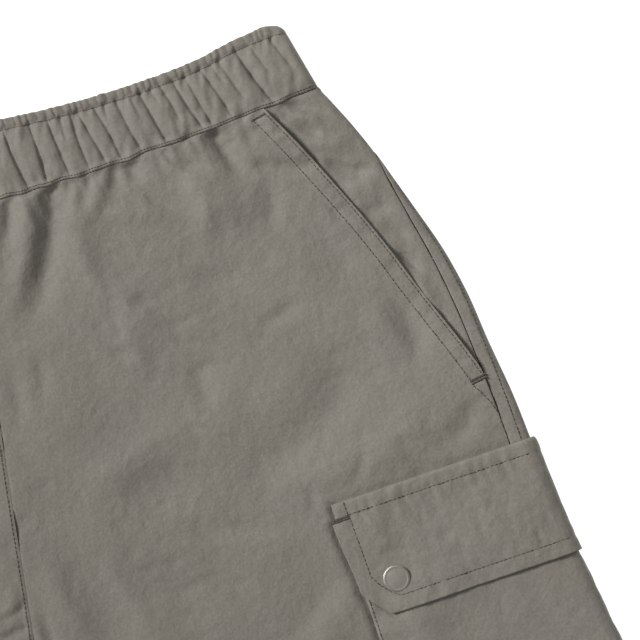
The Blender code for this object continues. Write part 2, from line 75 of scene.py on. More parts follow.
def smooth_step(value: Array, low: float, high: float) -> Array:
    """Cubic step: 3t² - 2t³ of the share t that value has gone from low to high.

    Args:
        value: Where to take the step.
        low: Value at which the step is 0. It may be the larger one.
        high: Value at which the step is 1.

    Returns:
        Numbers from 0 to 1.
    """
    part = np.clip((value - low) / (high - low), 0.0, 1.0)
    return part * part * (3 - 2 * part)


def bell(distance: Array, width: Array | float) -> Array:
    """Gaussian bell: 1 at distance 0, and 1/e at one width."""
    return np.exp(-((distance / width) ** 2))


@dataclass(frozen=True)
class SmoothCurve:
    """A smooth function through a table's rows, with straight ends beyond the first and last.

    Attributes:
        rows: Pairs of (place, value), in order of place.
    """

    rows: tuple[tuple[float, float], ...]

    def __call__(self, at: Array | float) -> Array:
        """Cubic Hermite pieces, whose slopes at the rows come from their neighbours.

        Args:
            at: Places to read.

        Returns:
            The values there.
        """
        knots, values = np.array(self.rows).T
        slopes = np.gradient(values, knots)
        at = np.asarray(at, float)
        inside = np.clip(at, knots[0], knots[-1])
        cell = np.clip(np.searchsorted(knots, inside, side="right") - 1, 0, len(knots) - 2)
        width = knots[cell + 1] - knots[cell]
        part = (inside - knots[cell]) / width
        rise = values[cell] * (1 + 2 * part) * (1 - part) ** 2
        rise += values[cell + 1] * part**2 * (3 - 2 * part)
        rise += slopes[cell] * width * part * (1 - part) ** 2
        rise -= slopes[cell + 1] * width * part**2 * (1 - part)
        return rise + np.where(at < knots[0], slopes[0], slopes[-1]) * (at - inside)


@dataclass(frozen=True)
class Ripple:
    """Random waves with no direction of their own: a sum of sines with random turns and phases.

    Attributes:
        shortest: Shortest wavelength, mm.
        longest: Longest wavelength, mm.
        seed: Start of the random draws.
        waves: How many sines are summed.
        ridged: Share of the result that is folded at zero, which gives it creased lines.
    """

    shortest: float
    longest: float
    seed: int
    waves: int = 36
    ridged: float = 0.0

    def __call__(self, x: Array, y: Array | float = 0.0) -> Array:
        """Height of the ripple, with a mean square of about 1.

        Args:
            x: Places along the first direction, mm.
            y: Places along the second direction, mm.

        Returns:
            The heights, without a unit.
        """
        draw = np.random.default_rng(self.seed)
        turn = draw.uniform(0, 2 * math.pi, self.waves)
        phase = draw.uniform(0, 2 * math.pi, self.waves)
        spread = draw.uniform(0, 1, self.waves)
        pitch = self.shortest * (self.longest / self.shortest) ** spread
        total = np.zeros(np.broadcast(x, y).shape)
        for angle, start, wavelength in zip(turn, phase, pitch):
            total += np.sin((x * math.cos(angle) + y * math.sin(angle)) * 2 * math.pi / wavelength + start)
        total *= math.sqrt(2 / self.waves)
        return total * (1 - self.ridged) + (0.8 - np.abs(total)) * self.ridged


@dataclass(frozen=True)
class Pucker:
    """Small ripples that run away from a line of sewing and die out.

    Attributes:
        height: Their height at the sewing, mm.
        reach: Distance over which they fade to a third, mm.
        shortest: Shortest distance from one to the next, mm.
        longest: Longest distance from one to the next, mm.
        seed: Start of the random draws.
        slant: How far each drifts along the line for each millimetre away from it.
    """

    height: float
    reach: float
    shortest: float
    longest: float
    seed: int
    slant: float = 0.0

    def __call__(self, along: Array, away: Array) -> Array:
        """Ripple along the line, times a decay with the distance away from it.

        Args:
            along: Distance along the sewing, mm.
            away: Distance from the sewing, mm.

        Returns:
            Heights in mm.
        """
        draw = np.random.default_rng(self.seed)
        total = np.zeros(np.broadcast(along, away).shape)
        count = 14
        for _ in range(count):
            pitch = draw.uniform(self.shortest, self.longest)
            phase = draw.uniform(0, 2 * math.pi)
            slant = self.slant + draw.normal(0, 0.12)
            total += np.sin((along + slant * away) * 2 * math.pi / pitch + phase)
        return self.height * total * math.sqrt(2 / count) * np.exp(-np.abs(away) / self.reach)


@dataclass(frozen=True)
class Crease:
    """A soft fold of the cloth along a smooth path.

    Attributes:
        path: Two to four points (across, down) that the fold runs through, mm.
        width: Half its width at its start, mm.
        height: Up for a ridge and negative for a trough, mm.
        spread: How much wider it is at its end, as a share of width.
        lean: How much wider its outer flank is than its inner one, -1 to 1.
        fade: Share of its length over which it fades at its start and at its end.
    """

    path: tuple[tuple[float, float], ...]
    width: float
    height: float
    spread: float = 0.0
    lean: float = 0.0
    fade: tuple[float, float] = (0.4, 0.4)

    STEPS = 20

    def line(self) -> Array:
        """Points of the polynomial through the path, evenly spaced in its parameter."""
        knots = np.linspace(0, 1, len(self.path))
        share = np.linspace(0, 1, self.STEPS + 1)
        columns = [np.polyval(np.polyfit(knots, c, len(knots) - 1), share) for c in np.array(self.path).T]
        return np.stack(columns, axis=-1)

    def __call__(self, across: Array, down: Array) -> Array:
        """A bell across the path, from each place's distance to the path's nearest segment.

        Args:
            across: Places across, mm.
            down: Places down, mm.

        Returns:
            The height that the fold adds, mm.
        """
        line = self.line()
        reach = 3 * self.width * (1 + max(self.spread, 0)) * (1 + abs(self.lean))
        low, high = line.min(axis=0) - reach, line.max(axis=0) + reach
        near = (across > low[0]) & (across < high[0]) & (down > low[1]) & (down < high[1])
        result = np.zeros(across.shape)
        place = np.stack([across[near], down[near]], axis=-1)[:, None, :]
        start, run = line[None, :-1], (line[1:] - line[:-1])[None]
        part = np.clip(((place - start) * run).sum(axis=-1) / (run**2).sum(axis=-1), 0, 1)
        offset = place - start - part[..., None] * run
        distance = np.linalg.norm(offset, axis=-1)
        nearest = distance.argmin(axis=1)[:, None]
        turn = run[..., 0] * offset[..., 1] - run[..., 1] * offset[..., 0]
        found = (np.take_along_axis(each, nearest, axis=1)[:, 0] for each in (turn, part, distance))
        turn, part, distance = found
        side = np.sign(turn)
        share = (nearest[:, 0] + part) / self.STEPS
        width = self.width * (1 + self.spread * share) * (1 - self.lean * side)
        fade = np.ones(len(share))
        if self.fade[0] > 0:
            fade *= smooth_step(share, 0, self.fade[0])
        if self.fade[1] > 0:
            fade *= smooth_step(share, 1, 1 - self.fade[1])
        result[near] = self.height * bell(distance, width) * fade
        return result


# ---- tables of the cut
SIDE = (  # down, edge of the outline, how far inside it the side seam lies
    (-36.0, 203.5, -2.0),
    (-20.0, 214.5, -1.2),
    (7.0, 230.5, 0.2),
    (21.0, 237.5, 2.6),
    (40.0, 247.0, 5.0),
    (65.0, 259.0, 7.6),
    (90.0, 268.0, 9.0),
    (118.0, 275.3, 9.3),
    (150.0, 284.2, 11.0),
    (176.0, 290.0, 11.7),
    (205.0, 296.0, 12.0),
    (240.0, 304.5, 12.0),
    (270.0, 313.5, 12.0),
    (295.0, 321.0, 12.0),
    (360.0, 337.0, 12.0),
    (500.0, 364.0, 11.0),
    (750.0, 405.0, 10.0),
    (1010.0, 444.0, 9.0),
)

INNER = (  # down, inner edge of the leg
    (266.0, 0.15),
    (278.0, 3.2),
    (300.0, 11.5),
    (360.0, 33.0),
    (500.0, 80.0),
    (750.0, 162.0),
    (1010.0, 245.0),
)

OPENING = (  # down, edge of the front panel along the slant pocket
    (-36.0, 166.8),
    (-28.0, 172.5),
    (-7.4, 187.2),
    (11.3, 199.6),
    (35.8, 215.2),
    (58.8, 228.7),
    (78.8, 239.3),
    (103.6, 253.0),
    (115.9, 259.8),
    (137.0, 271.0),
)

# Folds of the front of the left half, down to the pocket.
LEFT_FOLDS = (
    Crease(((48, -9), (43, 29), (20, 84)), 5.5, -2.6, spread=0.3, fade=(0.0, 0.45)),
    Crease(((35, -9), (30, 28), (8, 76)), 5.5, 1.9, spread=0.2, fade=(0.1, 0.4)),
    Crease(((56, -6), (61, 24), (57, 70)), 8.0, 0.9, fade=(0.2, 0.6)),
    Crease(((22, -6), (23, 10), (14, 34)), 4.0, -2.2, fade=(0.0, 0.5)),
    Crease(((60, -8), (56, 5), (50, 18)), 2.6, -1.4, spread=0.6, fade=(0.0, 0.6)),
    Crease(((71, -9), (68, 2), (57, 20)), 2.2, -1.0, spread=0.6, fade=(0.0, 0.6)),
    Crease(((79, -9), (74, 4), (60, 24)), 4.0, 1.3, spread=0.4),
    Crease(((89, -16), (95, -6), (99, 4)), 3.2, -2.3, spread=0.4, fade=(0.0, 0.5)),
    Crease(((86, -13), (84, 0), (78, 12)), 3.4, -1.4, spread=0.5, fade=(0.0, 0.6)),
    Crease(((74, 14), (92, 19), (114, 19)), 4.5, 1.1),
    Crease(((98, 6), (106, 14), (118, 18)), 2.2, -0.9),
    Crease(((59, 16), (62, 44), (72, 76)), 6.5, 1.1),
    Crease(((66, 44), (84, 70), (98, 92)), 9.0, 1.5),
    Crease(((72, 66), (80, 90), (84, 112)), 7.0, 1.0),
    Crease(((111, 100), (114, 119), (114, 138)), 5.0, -0.9),
    Crease(((124, -4), (132, 16), (140, 46)), 13.0, 3.0, lean=0.4),
    Crease(((136, 18), (138, 32), (136, 46)), 5.5, -0.9),
    Crease(((166, 8), (168, 25), (162, 44)), 6.0, -1.1),
    Crease(((141, -28), (147, -8), (161, 11)), 4.6, -2.9, spread=0.2, fade=(0.0, 0.45)),
    Crease(((111, -17), (123, -4), (148, -1)), 1.9, -0.7, fade=(0.1, 0.5)),
    Crease(((113, -13), (125, 1), (149, 3)), 3.0, 0.6, fade=(0.1, 0.5)),
    Crease(((156, 0), (178, 6), (202, 7)), 4.2, -1.8, fade=(0.3, 0.25)),
    Crease(((148, 89), (163, 87), (180, 78)), 4.0, -1.1),
    Crease(((114, 57), (134, 61), (152, 67)), 5.5, -0.9),
    Crease(((227, 76), (232, 98), (236, 114), (232, 136)), 6.0, -1.7),
    Crease(((212, 84), (219, 104), (217, 132)), 7.0, 0.9),
    Crease(((200, 98), (188, 136), (160, 160), (118, 168)), 12.0, -2.3),
    Crease(((172, 96), (160, 124), (132, 148)), 12.0, 1.0),
    Crease(((132, 166), (86, 171), (36, 188)), 11.0, -1.2, fade=(0.5, 0.5)),
    Crease(((22, 184), (37, 224), (58, 272)), 11.0, -1.1),
    Crease(((10, 196), (20, 226), (38, 266)), 8.0, 0.9),
    Crease(((44, 200), (56, 228), (70, 262)), 7.0, 1.0),
    Crease(((4, 226), (9, 242), (10, 262)), 3.0, -1.6, fade=(0.5, 0.1)),
    Crease(((108, 138), (72, 152), (36, 168)), 9.0, 1.4),
    Crease(((246, 140), (208, 170), (140, 186)), 11.0, 1.7),
    Crease(((268, 146), (256, 161), (238, 178)), 5.5, -1.2),
    Crease(((199, 164), (195, 176), (190, 190)), 3.0, -1.0),
    Crease(((84, 193), (120, 200), (168, 203)), 6.5, -1.0),
    Crease(((161, 180), (165, 190), (165, 200)), 3.0, -0.7),
    Crease(((174, 226), (156, 252), (130, 272)), 8.0, -0.8),
    Crease(((184, 238), (168, 258), (150, 284)), 8.0, 0.7),
    Crease(((74, 206), (86, 236), (92, 266)), 9.0, -0.9),
    Crease(((28, 82), (27, 102), (24, 124)), 5.0, -0.9),
    Crease(((10, 84), (12, 108), (11, 132)), 5.0, -0.9),
    Crease(((38, 84), (54, 96), (60, 118)), 7.0, -0.4),
    Crease(((150, 96), (132, 118), (120, 146)), 8.0, 0.4),
    Crease(((186, 30), (196, 52), (210, 70)), 6.0, -0.5),
    Crease(((152, 52), (176, 60), (196, 78)), 7.0, 0.6),
)

# Folds of the front of the right half, down to the pocket.
RIGHT_FOLDS = (
    Crease(((51, -9), (42, 24), (22, 68)), 5.0, -3.1, spread=0.5, fade=(0.0, 0.55)),
    Crease(((38, -6), (30, 20), (15, 50)), 5.5, 1.5, fade=(0.1, 0.6)),
    Crease(((65, -8), (56, 36), (33, 86)), 7.0, 1.8, spread=0.4, fade=(0.1, 0.6)),
    Crease(((24, -5), (20, 12), (9, 36)), 4.0, -1.6, fade=(0.0, 0.5)),
    Crease(((76, -10), (68, 8), (60, 20)), 2.6, -1.3, spread=0.6, fade=(0.0, 0.6)),
    Crease(((96, -15), (99, -2), (108, 9)), 3.6, -1.8, spread=0.4, fade=(0.0, 0.6)),
    Crease(((112, -17), (108, -4), (98, 8)), 2.8, -1.2, spread=0.5, fade=(0.0, 0.6)),
    Crease(((90, 4), (108, 36), (120, 80)), 11.0, -1.3),
    Crease(((146, 2), (152, 24), (158, 54)), 9.0, -1.2),
    Crease(((148, -27), (150, -10), (166, 8)), 4.4, -2.0, spread=0.6, fade=(0.0, 0.6)),
    Crease(((118, -14), (130, -2), (150, 2)), 8.0, 1.4),
    Crease(((217, 60), (227, 92), (229, 122)), 6.0, -1.7),
    Crease(((24, 150), (66, 132), (114, 108)), 11.0, 1.2),
    Crease(((38, 190), (110, 172), (180, 132)), 9.5, -1.4),
    Crease(((108, 192), (180, 186), (242, 150)), 11.0, 1.5),
    Crease(((23, 196), (38, 232), (66, 264)), 9.0, -1.9),
    Crease(((40, 190), (60, 216), (90, 246)), 8.0, 0.9),
    Crease(((140, 74), (158, 84), (180, 82)), 5.0, -0.7),
    Crease(((80, 206), (126, 214), (166, 206)), 8.0, -0.6),
    Crease(((60, 60), (76, 84), (80, 118)), 8.0, -0.8),
    Crease(((176, 230), (156, 250), (126, 262)), 6.0, -0.9),
    Crease(((190, 40), (200, 62), (214, 84)), 6.0, -0.6),
    Crease(((2, 225), (10, 228), (22, 234)), 2.0, -1.2, fade=(0.1, 0.5)),
    Crease(((2, 236), (12, 239), (26, 243)), 2.2, -1.4, fade=(0.1, 0.5)),
    Crease(((3, 246), (12, 250), (28, 250)), 2.6, -1.2, fade=(0.1, 0.5)),
    Crease(((4, 214), (9, 222), (12, 238)), 4.5, 1.2),
)

# Folds of the legs below the pocket's flap: the left leg's, and the right leg's.
LEFT_LEG_FOLDS = (
    Crease(((58, 290), (118, 316), (180, 330)), 17.0, 1.4),
    Crease(((98, 350), (160, 384), (216, 402)), 15.0, -1.4),
    Crease(((40, 288), (62, 318), (96, 340)), 9.0, -1.2),
    Crease(((150, 470), (200, 498), (252, 505)), 19.0, 1.6),
    Crease(((120, 420), (190, 446), (290, 440)), 14.0, -1.1),
    Crease(((184, 592), (262, 588), (332, 560)), 20.0, 1.7),
    Crease(((170, 540), (240, 546), (340, 520)), 13.0, -1.2),
    Crease(((238, 692), (290, 684), (332, 654)), 18.0, 1.4),
    Crease(((210, 636), (280, 640), (360, 622)), 12.0, -1.2),
    Crease(((240, 756), (310, 760), (380, 740)), 13.0, -1.1),
    Crease(((250, 800), (320, 832), (388, 838)), 18.0, 1.5),
    Crease(((270, 902), (330, 902), (402, 878)), 16.0, 1.5),
    Crease(((262, 862), (330, 868), (390, 862)), 10.0, -0.9),
    Crease(((250, 520), (284, 600), (300, 700)), 16.0, 0.8),
    Crease(((300, 720), (318, 800), (330, 900)), 18.0, -0.8),
)

RIGHT_LEG_FOLDS = (
    Crease(((55, 298), (110, 336), (172, 352)), 17.0, 1.4),
    Crease(((88, 366), (150, 392), (222, 398)), 15.0, -1.4),
    Crease(((30, 292), (60, 330), (84, 372)), 9.0, -1.1),
    Crease(((138, 450), (204, 484), (264, 500)), 19.0, 1.5),
    Crease(((124, 404), (200, 428), (290, 424)), 14.0, -1.1),
    Crease(((178, 575), (256, 600), (332, 598)), 20.0, 1.7),
    Crease(((176, 524), (250, 546), (344, 540)), 13.0, -1.1),
    Crease(((223, 668), (284, 692), (342, 700)), 18.0, 1.5),
    Crease(((208, 620), (276, 648), (366, 650)), 12.0, -1.2),
    Crease(((236, 742), (300, 762), (384, 766)), 13.0, -1.1),
    Crease(((244, 822), (316, 818), (382, 790)), 18.0, 1.5),
    Crease(((260, 886), (330, 908), (407, 916)), 16.0, 1.4),
    Crease(((256, 852), (320, 860), (400, 848)), 10.0, -0.9),
    Crease(((262, 540), (280, 620), (310, 700)), 16.0, 0.8),
)

# Folds of the hip facing, seen in the slant pocket.
FACING_FOLDS = (
    Crease(((178, -35), (191, -26), (210, -19)), 3.2, -2.6, fade=(0.1, 0.5)),
    Crease(((186, -27), (196, -20), (205, -15)), 3.0, 1.6),
    Crease(((186, -19), (196, -12), (203, -9)), 2.6, -1.8),
    Crease(((192, -8), (206, -3), (220, 0)), 4.0, 1.7),
    Crease(((198, 6), (208, 10), (217, 14), (230, 13)), 3.2, -2.9, fade=(0.35, 0.3)),
    Crease(((206, 22), (220, 24), (234, 22)), 5.0, 1.2),
    Crease(((214, 37), (226, 37), (238, 33)), 3.0, -2.0),
    Crease(((222, 46), (234, 50), (244, 60)), 4.0, -1.5),
    Crease(((228, 64), (238, 66), (245, 80)), 3.2, -2.6),
    Crease(((238, 76), (245, 86), (250, 102)), 4.0, 1.6),
)


# ---- the form
@dataclass(frozen=True)
class GarmentForm:
    """The trousers' hollow envelope: outline, height of both sheets, and the folds on them.

    Sizes are in mm. The upper sheet is the front and lies on the lower one, the back, which runs over
    the rear half of the cargo pocket and so is raised there by `under_lift`. Each pair of raised_ and
    under_ says where that part starts or ends, and where it is full: inside the outline, or down.
    """

    sheet_height: float = 5.6
    waist_swell: float = 1.0
    swell_reach: float = 25.0
    edge_roll: float = 4.5
    under_lift: float = 5.1
    raised_inside: tuple[float, float] = (190, 60)
    raised_top: tuple[float, float] = (60, 165)
    raised_end: tuple[float, float] = (560, 430)
    under_inside: tuple[float, float] = (126, 92)
    under_top: tuple[float, float] = (118, 155)
    under_end: tuple[float, float] = (490, 445)
    crotch_down: float = 266.0
    curl_reach: float = 36.0
    hem_down: float = 975.0
    hem_tilt: float = math.tan(math.radians(14.3))
    hem_tilt_from: float = 330.0
    waist_curve_to: float = 150.0
    waist_half_width: float = 204.0
    waist_side_rise: float = 35.3
    waist_rise_power: float = 1.4
    waist_wobble: float = 0.42
    waist_wave: float = 0.5
    band_top_half_width: float = 189.0
    band_top_centre: float = 45.0
    band_top_side_rise: float = 28.5
    band_top_power: float = 2.1
    band_top_reference: float = 185.0
    band_top_end: float = 183.0
    shoulder_rise: float = 2.2
    shoulder_across: float = 162.0
    shoulder_width: float = 16.0
    seam_gap: float = 0.3
    opening_end: float = 137.0
    edge: SmoothCurve = SmoothCurve(tuple((row[0], row[1]) for row in SIDE))
    seam_inset: SmoothCurve = SmoothCurve(tuple((row[0], row[2]) for row in SIDE))
    inner_table: SmoothCurve = SmoothCurve(INNER)
    opening: SmoothCurve = SmoothCurve(OPENING)

    @property
    def quarter_roll(self) -> float:
        """Arc from the outline to where the cloth lies flat."""
        return self.edge_roll * math.pi / 2

    def inner(self, down: Array) -> Array:
        """Inner boundary of one half: the centre seam above the crotch, the inseam below it."""
        gap = self.seam_gap / 2
        return np.where(down < self.crotch_down, gap, np.maximum(self.inner_table(down), gap))

    def cosine(self, curve: Callable[[Array], Array], down: Array) -> Array:
        """Cosine of an edge's lean, which turns a distance across into one square to the edge."""
        slope = curve(down + 0.5) - curve(down - 0.5)
        return 1 / np.sqrt(1 + slope**2)

    def roll_depth(self, turn: Array) -> Array:
        """How far inside the outline a point lies that is `turn` of arc round the edge from it."""
        turn = np.abs(turn)
        angle = np.minimum(turn, self.quarter_roll) / self.edge_roll
        return self.edge_roll * (1 - np.cos(angle)) + np.maximum(turn - self.quarter_roll, 0)

    def roll_turn(self, depth: Array) -> Array:
        """The arc from the outline to a point that lies `depth` inside it, with depth's sign."""
        size = np.abs(depth)
        rolled = self.edge_roll * np.arccos(np.clip(1 - size / self.edge_roll, 0, 1))
        return np.sign(depth) * (rolled + np.maximum(size - self.edge_roll, 0))

    def rolled(self, turns: Array, down: Array) -> Grid:
        """Places across and layers of points that lie `turns` of arc round the outer edge."""
        depth = self.roll_depth(turns) / self.cosine(self.edge, down)
        return self.edge(down) - depth, np.where(turns >= 0, 1.0, -1.0)

    def curled(self, degrees: Sequence[float]) -> Array:
        """How far inside an edge the columns of its rolled part lie, by their angles round it."""
        return self.edge_roll * (1 - np.cos(np.radians(np.array(degrees))))

    def waist_rise(self, across: Array) -> Array:
        """Height of the waist seam over its centre: a power of the share across, and a wobble."""
        size = np.abs(across)
        wobble = self.waist_wobble * Ripple(11, 27, 30, waves=9)(size) * smooth_step(size, 201, 188)
        return self.waist_side_rise * (size / self.waist_half_width) ** self.waist_rise_power + wobble

    def seam_wave(self, across: Array) -> Array:
        """Relief that the waistband and the panels share along the waist seam, where they are sewn."""
        return self.waist_wave * Ripple(7, 21, 31, waves=12)(np.abs(across))

    def band_top(self, across: Array) -> Array:
        """Height of the band's top edge over the waist seam's centre, with a swell near its ends."""
        size = np.minimum(np.abs(across), self.band_top_end)
        shoulder = self.shoulder_rise * bell(size - self.shoulder_across, self.shoulder_width)
        share = size / self.band_top_reference
        return self.band_top_centre + self.band_top_side_rise * share**self.band_top_power + shoulder

    def sheets(self, across: Array, down: Array) -> Grid:
        """Heights of the upper and the lower sheet without folds, away from the rolled edges.

        Args:
            across: Places across, of either sign.
            down: Places down.

        Returns:
            Upper and lower heights.
        """
        inside = self.edge(down) - np.abs(across)
        raised = smooth_step(inside, *self.raised_inside)
        raised = raised * smooth_step(down, *self.raised_top) * smooth_step(down, *self.raised_end)
        under = smooth_step(inside, *self.under_inside)
        under = under * smooth_step(down, *self.under_top) * smooth_step(down, *self.under_end)
        swell = self.waist_swell * bell(down + self.waist_rise(across), self.swell_reach)
        return self.sheet_height + swell + self.under_lift * raised, self.under_lift * under

    def envelope(self, across: Array, down: Array) -> tuple[Array, Array, Array]:
        """Middle height and half height of the form, and the squared share its edges take from it."""
        size = np.abs(across)
        upper, lower = self.sheets(across, down)
        to_edge = (self.edge(down) - size) * self.cosine(self.edge, down)
        to_inner = (size - self.inner(down)) * self.cosine(self.inner, down)
        outer = np.maximum(1 - to_edge / self.edge_roll, 0)
        inner = np.maximum(1 - to_inner / self.edge_roll, 0)
        curl = smooth_step(down, self.crotch_down - self.curl_reach, self.crotch_down)
        return (upper + lower) / 2, (upper - lower) / 2, outer**2 + curl * inner**2

    def point(self, across: Array, down: Array, layer: Array) -> Array:
        """Point of the form over (across, down): an ellipse closes the two sheets at each edge."""
        middle, half, taken = self.envelope(across, down)
        height = middle + layer * half * np.sqrt(np.clip(1 - taken, 0, 1))
        return np.stack(np.broadcast_arrays(across, down, height), axis=-1)

    def normal(self, points: Array) -> Array:
        """Outward normal of the form: the slope of its implicit equation in each direction.

        Args:
            points: Points of the form, as (across, down, height) in the last axis.

        Returns:
            Unit normals in the same axes.
        """

        def value(across: Array, down: Array, height: Array) -> Array:
            """Left side of the form's equation, which is 1 on its surface."""
            middle, half, taken = self.envelope(across, down)
            return ((height - middle) / half) ** 2 + taken

        step = 0.02
        x, d, z = np.moveaxis(points, -1, 0)
        slopes = np.stack(
            [
                value(x + step, d, z) - value(x - step, d, z),
                value(x, d + step, z) - value(x, d - step, z),
                value(x, d, z + step) - value(x, d, z - step),
            ],
            axis=-1,
        )
        return slopes / np.linalg.norm(slopes, axis=-1, keepdims=True)

    def row_down(self, level: Array, across: Array) -> Array:
        """Where a row lies: parallel to the waist seam at the top, square to the leg at the hem."""
        along_waist = smooth_step(level, self.waist_curve_to, 0)
        along_hem = smooth_step(level, self.hem_tilt_from, self.hem_down)
        middle = (self.edge(level) + self.inner(level)) / 2
        tilt = along_hem * self.hem_tilt * (np.abs(across) - middle)
        return level - along_waist * self.waist_rise(across) - tilt

    def settle(self, levels: Array, columns: Callable[[Array], Array]) -> Grid:
        """Grid where each row's height and each column's place across agree with one another.

        Args:
            levels: One level for each row.
            columns: Gives the places across of all columns for a grid of heights down.

        Returns:
            Places across and down, each with a row for each level.
        """
        levels = levels[:, None]
        down = np.broadcast_to(levels, columns(levels).shape)
        for _ in range(10):
            across = columns(down)
            down = self.row_down(levels, across)
        return columns(down), down

    def wrapped(self, across: Array, down: Array) -> tuple[Array, Array, Array]:
        """Place of a flat sheet's point once the sheet is laid on the leg and folded round its edge.

        Args:
            across: Place across in the flat sheet, which may lie beyond the outline.
            down: Place down in the flat sheet.

        Returns:
            Place across, place down and layer on the form.
        """
        cosine = self.cosine(self.edge, down)
        sine = np.sqrt(1 - cosine**2)
        from_edge = (self.edge(down) - across) * cosine
        turn = from_edge + self.quarter_roll - self.edge_roll
        depth = self.roll_depth(turn)
        foot_across = across + from_edge * cosine
        foot_down = down - from_edge * sine
        return foot_across - depth * cosine, foot_down + depth * sine, np.where(turn >= 0, 1.0, -1.0)

    def to_world(self, points: Array) -> Array:
        """From across, down and height in mm to metres in the garment's frame."""
        hem_low = self.row_down(np.array(self.hem_down), self.inner(np.array(self.hem_down)))
        waist_y = (hem_low - self.band_top(self.band_top_half_width)) / 2
        return np.stack([points[..., 0], waist_y - points[..., 1], points[..., 2]], axis=-1) * MM


FORM = GarmentForm()


@dataclass(frozen=True)
class Drape:
    """The folds and crinkles that all layers of one half share, so that none cuts another.

    Attributes:
        side: Which half.
        folds: Its folds, as listed.
    """

    side: Side
    folds: tuple[Crease, ...]
    fold_depth: float = 1.35
    crinkle_height: float = 0.24
    billow_height: float = 0.40
    under_height: float = 0.35

    def upper(self, across: Array, down: Array) -> Array:
        """Sum of the folds, a broad billow, and a crinkle that is stronger in some places.

        Args:
            across: Places across, counted outwards, mm.
            down: Places down, mm.

        Returns:
            Height over the form, mm.
        """
        seed = 40 + self.side.value
        total = self.fold_depth * sum(fold(across, down) for fold in self.folds)
        total = total + self.billow_height * Ripple(38, 90, seed)(across, down)
        patches = 0.75 + 0.35 * Ripple(60, 140, seed + 3)(across, down)
        total += self.crinkle_height * patches * Ripple(9, 30, seed + 6, ridged=0.55)(across, down)
        waist = down + FORM.waist_rise(across)
        total += Pucker(0.42, 11, 5, 15, seed + 9, slant=-0.25)(across, waist)
        inside = FORM.edge(down) - across
        hem = smooth_step(down, FORM.hem_down + 60, FORM.hem_down - 40)
        total *= smooth_step(inside, 2, 20) * (0.45 + 0.55 * hem)
        free = smooth_step(waist, -0.5, 4.0)
        return total * free + FORM.seam_wave(across) * (1 - free)

    def lower(self, across: Array, down: Array) -> Array:
        """Shallow hollows of the underside, which is flat where it rests: only the ripple's upper part."""
        ripple = Ripple(14, 60, 70 + self.side.value, ridged=0.3)(across, down)
        inside = FORM.edge(down) - across
        return -self.under_height * np.clip(ripple, 0, 2) * smooth_step(inside, 6, 30)

    def lay(self, across: Array, down: Array, layer: Array, lift: Array | float) -> Grid:
        """Points of a layer of cloth that lies on the form.

        Args:
            across: Places across, counted outwards, mm.
            down: Places down, mm.
            layer: 1 on the upper sheet, -1 on the lower one.
            lift: How far the layer stands off the form, mm.

        Returns:
            Points and outward normals, with across signed for the half.
        """
        across, down, layer = np.broadcast_arrays(across, down, layer)
        base = FORM.point(self.side.value * across, down, layer)
        normal = FORM.normal(base)
        relief = np.where(layer > 0, self.upper(across, down), self.lower(across, down))
        return base + (lift + relief)[..., None] * normal, normal


DRAPES = {
    Side.LEFT: Drape(Side.LEFT, LEFT_FOLDS + LEFT_LEG_FOLDS),
    Side.RIGHT: Drape(Side.RIGHT, RIGHT_FOLDS + RIGHT_LEG_FOLDS),
}


# ---- finishes
class NodeGraph:
    """Short ways to add and link shader nodes in one tree."""

    def __init__(self, tree: bpy.types.NodeTree) -> None:
        """Starts with an empty tree."""
        self.tree = tree
        tree.nodes.clear()

    def add(self, kind: str, **settings: object) -> bpy.types.Node:
        """Adds a node of that kind.

        Args:
            kind: Blender's name for the node's type.
            settings: Values of its properties. A key that starts with "in_" sets the input of that
                name, with spaces for underscores, to a value or links it to a socket.

        Returns:
            The node.
        """
        node = self.tree.nodes.new(kind)
        for key, value in settings.items():
            if not key.startswith("in_"):
                setattr(node, key, value)
        for key, value in settings.items():
            if key.startswith("in_"):
                name = key[3:]
                self.feed(node.inputs[int(name) if name.isdigit() else name.replace("_", " ")], value)
        return node

    def feed(self, socket: bpy.types.NodeSocket, value: object) -> None:
        """Links a socket to another one, or sets its value."""
        if isinstance(value, bpy.types.NodeSocket):
            self.tree.links.new(value, socket)
        else:
            socket.default_value = value

    def maths(self, operation: str, *values: object) -> bpy.types.NodeSocket:
        """Result of a Math node on two or three values or sockets."""
        inputs = {f"in_{index}": value for index, value in enumerate(values)}
        return self.add("ShaderNodeMath", operation=operation, **inputs).outputs[0]

    def noise(self, vector: object, scale: float, detail: float, rough: float = 0.5) -> object:
        """Value of a noise texture, 0 to 1."""
        inputs = {"in_Vector": vector, "in_Scale": scale, "in_Detail": detail, "in_Roughness": rough}
        return self.add("ShaderNodeTexNoise", **inputs).outputs["Fac"]

    def tint(self, factor: object, first: object, second: object, blend: str = "MIX") -> object:
        """Colour between two, by a factor."""
        mix = self.add("ShaderNodeMix", data_type="RGBA", blend_type=blend)
        for name, value in (("Factor", factor), ("A", first), ("B", second)):
            self.feed(next(s for s in mix.inputs if s.name == name and s.enabled), value)
        return next(s for s in mix.outputs if s.enabled)

    def end_material(self, **inputs: object) -> None:
        """Adds a Principled shader with these inputs and links it to the material's output."""
        shader = self.add("ShaderNodeBsdfPrincipled", **inputs)
        self.add("ShaderNodeOutputMaterial", in_Surface=shader.outputs[0])


def new_material(name: str) -> tuple[bpy.types.Material, NodeGraph]:
    """Makes a material with an empty graph."""
    made = bpy.data.materials.new(name)
    made.use_nodes = True
    return made, NodeGraph(made.node_tree)


